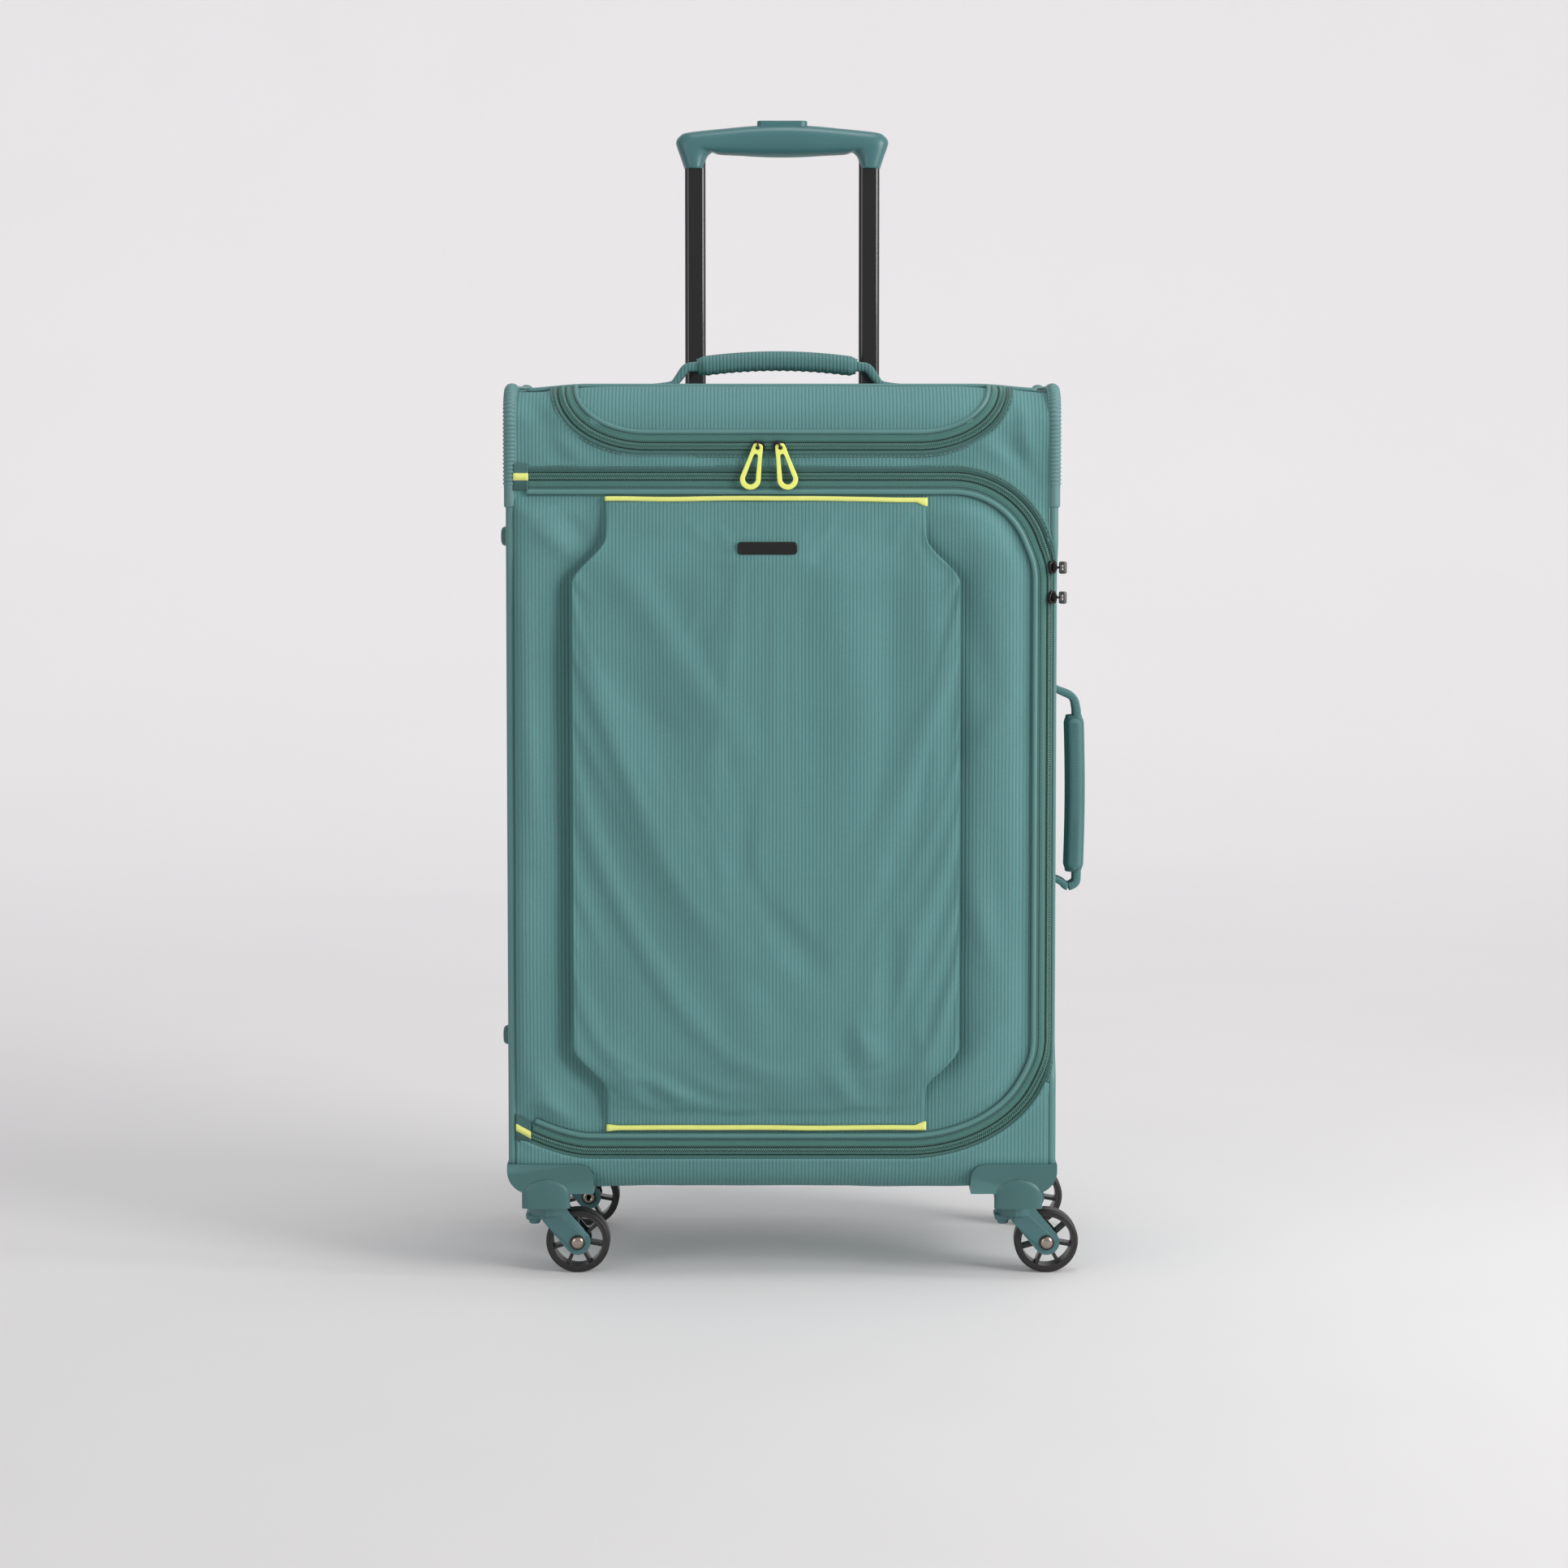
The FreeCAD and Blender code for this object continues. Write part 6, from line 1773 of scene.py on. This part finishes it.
def make_hardware():
    """Rounded housings, forks, wheels, pins and bezel; the tubes keep their CAD shapes."""
    refined("trolley_bezel", "bezel_moulding", "case", GRIP, 0.7)
    refined("trolley_base_bracket", "base_bracket", "case", INNER_PLASTIC, 0.6)
    refined("release_push_rods", "push_rods", "release_button", INNER_PLASTIC,
            0.3)
    refined("housing_screws", "base_screws", "case", NICKEL, 0.3, 2)
    for name in ("trolley_outer_tubes", "trolley_middle_tubes", "trolley_inner_tubes"):
        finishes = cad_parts[name].data.materials
        finishes.clear()
        finishes.append(ROD)
    for caster in CASTERS:
        refined(caster + "_housing", caster + "_cup", "case", HOUSING, 0.9)
        make_dome(caster)
        make_fork_details(caster)
        refined(caster + "_fork", caster + "_yoke", caster + "_caster", FORK, 0.6)
        refined(caster + "_pins", caster + "_rivet", caster + "_caster", NICKEL, 0.7)

        def which(point, centre=centre_of(caster + "_wheel")):
            return int(math.hypot(point[0] - centre[0], point[2] - centre[2]) > TYRE_BORE)

        refined(caster + "_wheel", caster + "_roller", caster + "_wheel", None,
                0.45, 2, [WHEEL_RIM, TYRE], which)


# --- inside and the rest ------------------------------------------------------------------------
def make_name_tag():
    """Card window on the right side: clear sheet over a blank yellow card in a frame."""
    low, high = span("name_tag_window")
    _, y, z = (low + high) / 2
    _, width, height = high - low

    def layer(name, inset, radius, holes, depth, bevel, out, *finish):
        outline = rounded_outline(width - inset, height - inset, radius)
        extruded(name, outline, holes, depth, bevel, basis(Y_AXIS, Z_AXIS, (HALF + out, y, z)),
                 "case", *finish)

    hole = rounded_outline(width - 5, height - 5, 1.5)
    layer("tag_frame", 0, 2.5, [hole], 1.6, 0.4, 1.6, GUARD, "guard_rubber")
    layer("tag_card", 4, 1.2, [], 0.5, 0.15, 1.2, YELLOW, "yellow_trim")
    layer("tag_clear", 4.4, 1.2, [], 0.6, 0.15, 2.0, CLEAR, "tag_window", ("name_tag_window",))


def slack_wall(build, corner, along_way, up_way, out, length, height, seed, sag=1.6, material=0):
    """Lining wall: loose cloth held at its edges."""
    corner = np.array(corner, dtype=float)
    nu, nv = max(int(length / 7), 4), max(int(height / 7), 4)
    rows = []
    for i in range(nv + 1):
        row = []
        for j in range(nu + 1):
            u, v = j / nu, i / nv
            hold = ease(min(u, 1 - u) * length / 30) * ease(min(v, 1 - v) * height / 30)
            loose = sag * hold * (0.6 + ripple(u * length, v * height * 0.6, seed, 60.0))
            row.append(corner + along_way * u * length + up_way * v * height + out * loose)
        rows.append(row)
    build.rows(rows, material=material)


def make_lining():
    """Lining of the main compartment and of the flap's compartment."""
    x = LINING_HIGH[0] - 0.5
    y0, y1 = FRONT + ROUND, LINING_HIGH[1] - 0.5
    z0, z1 = LINING_LOW[2] + 0.5, LINING_HIGH[2] - 0.5
    deep, tall = y1 - y0, z1 - z0
    build = Build()
    slack_wall(build, (-x, y0, z0), Y_AXIS, Z_AXIS, X_AXIS, deep, tall, 31.0)
    slack_wall(build, (x, y0, z0), Y_AXIS, Z_AXIS, -X_AXIS, deep, tall, 33.0)
    slack_wall(build, (-x, y1, z0), X_AXIS, Z_AXIS, -Y_AXIS, 2 * x, tall, 35.0)
    slack_wall(build, (-x, y0, z0), X_AXIS, Y_AXIS, Z_AXIS, 2 * x, deep, 37.0)
    slack_wall(build, (-x, y0 + 6, z1), X_AXIS, Y_AXIS, -Z_AXIS, 2 * x, deep - 6, 39.0)
    half, front_y, back_y = 183.0, FRONT + 4.6, -36.4
    floor = TOP - 56.4
    slack_wall(build, (-half, front_y, floor), X_AXIS, Y_AXIS, Z_AXIS, 2 * half,
               back_y - front_y, 41.0, 0.6)
    slack_wall(build, (-half, back_y, floor), X_AXIS, Z_AXIS, -Y_AXIS, 2 * half,
               z1 - floor, 43.0, 1.0)
    for sign in (-1, 1):
        slack_wall(build, (sign * half, y0, floor), Y_AXIS, Z_AXIS, -sign * X_AXIS,
                   back_y - y0, z1 - floor, 45.0 + sign, 0.6)
    obj = build.finish("lining_cloth", "case", LINING, "lining_cloth", ("lining",))
    thicken(obj, 0.8, 0.0)
    binding = Build()
    corners = [(-x + 1, y0 + 1), (-x + 1, y1 - 1.5), (x - 1, y1 - 1.5), (x - 1, y0 + 1)]
    path = [(cx, cy, z0 + 1.2) for cx, cy in corners]
    binding.rows(tube_rows(resample(path, 6.0), 1.6, 8), True, caps=True)
    for cx, cy in corners[1:3]:
        path = [(cx, cy, z0 + 2), (cx, cy, z1 - 2)]
        binding.rows(tube_rows(resample(path, 8.0), 1.6, 8, up=(1, 0, 0)), True, caps=True)
    binding.finish("lining_binding", "case", BINDING, "lining_cloth")


def make_lid_lining():
    """Inside of the lid: lining cloth with a zipped mesh pocket bound in tape."""
    low, high = span("lid_lining")
    build = Build()
    slack_wall(build, (low[0], low[1] - 0.2, low[2] + 3), X_AXIS, Z_AXIS, Y_AXIS,
               high[0] - low[0] - 40, high[2] - low[2] - 6, 51.0, 1.4)
    left, right = low[0] + 22, high[0] - 62
    foot, head = low[2] + 28, high[2] - 90
    slack_wall(build, (left, low[1] + 1.4, foot), X_AXIS, Z_AXIS, Y_AXIS, right - left,
               head - foot, 53.0, 2.2, 1)
    obj = build.finish("lid_lining_cloth", "lid", [LINING, LINING_MESH], "lining_cloth",
                       ("lid_lining",))
    thicken(obj, 0.7, 0.0)
    trim = Build()
    path = [(left, low[1] + 1.8, head), (right, low[1] + 1.8, head), (right, low[1] + 1.8, foot),
            (left, low[1] + 1.8, foot)]
    trim.rows(tube_rows(resample(path, 5.0, True), 1.9, 8, closed=True, up=(0, 1, 0)), True, True)
    for x in np.arange(left + 6, right - 6, 2.0):
        capsule(trim, (x, low[1] + 3.2, head - 9.2), (x, low[1] + 3.2, head - 6.8), 0.5, 5, 1)
    trim.finish("lid_pocket_binding", "lid", [BINDING, COIL], "lining_cloth")


def make_straps():
    """Packing straps with a side-release buckle against the back of the compartment."""
    low, high = span("packing_straps")
    y = high[1] - 0.9
    z = (low[2] + high[2]) / 2
    build = Build()
    for sign in (-1, 1):
        line = []
        for t in np.linspace(0, 1, 50):
            x = sign * (15 + (high[0] - 17) * t)
            slack = math.sin(math.pi * t)
            line.append((x, y - 0.6 - 2.2 * slack * abs(ripple(x, 0, 3, 50)), z - 3.0 * slack))
        build.rows(strap_rows(np.array(line), Z_AXIS, -Y_AXIS, 25.0, 1.5), True, caps=True)
    build.finish("strap_webbing_pair", "case", WEBBING, "strap_webbing", ("packing_straps",))
    buckle_y = y - 2.6
    shell = rounded_outline(30, 33, 5.0)
    window = rounded_outline(12, 20, 3.0)
    extruded("strap_buckle", shell, [window], 5.0, 1.0,
             basis((1, 0, 0), (0, 0, 1), (-4, buckle_y, z)), "case", INNER_PLASTIC,
             "inner_plastic")
    prongs = Build()
    for dz in (-11, 0, 11):
        capsule(prongs, (8, buckle_y, z + dz), (21, buckle_y, z + dz * 0.9), 2.0, 8)
    capsule(prongs, (21, buckle_y, z - 13), (21, buckle_y, z + 13), 2.2, 8)
    prongs.finish("strap_prongs", "case", INNER_PLASTIC, "inner_plastic")


make_camera()
make_stage()
make_front()
make_wrap()
make_sides()
make_piping()
make_guards()
make_feet()
make_lid()
make_lid_piping()
make_pocket()
make_trims()
make_badge()
make_flap()
make_zips()
make_top_sliders()
make_main_sliders()
make_top_handle()
make_side_handle()
make_anchors()
make_grip()
make_hardware()
make_name_tag()
make_lining()
make_lid_lining()
make_straps()
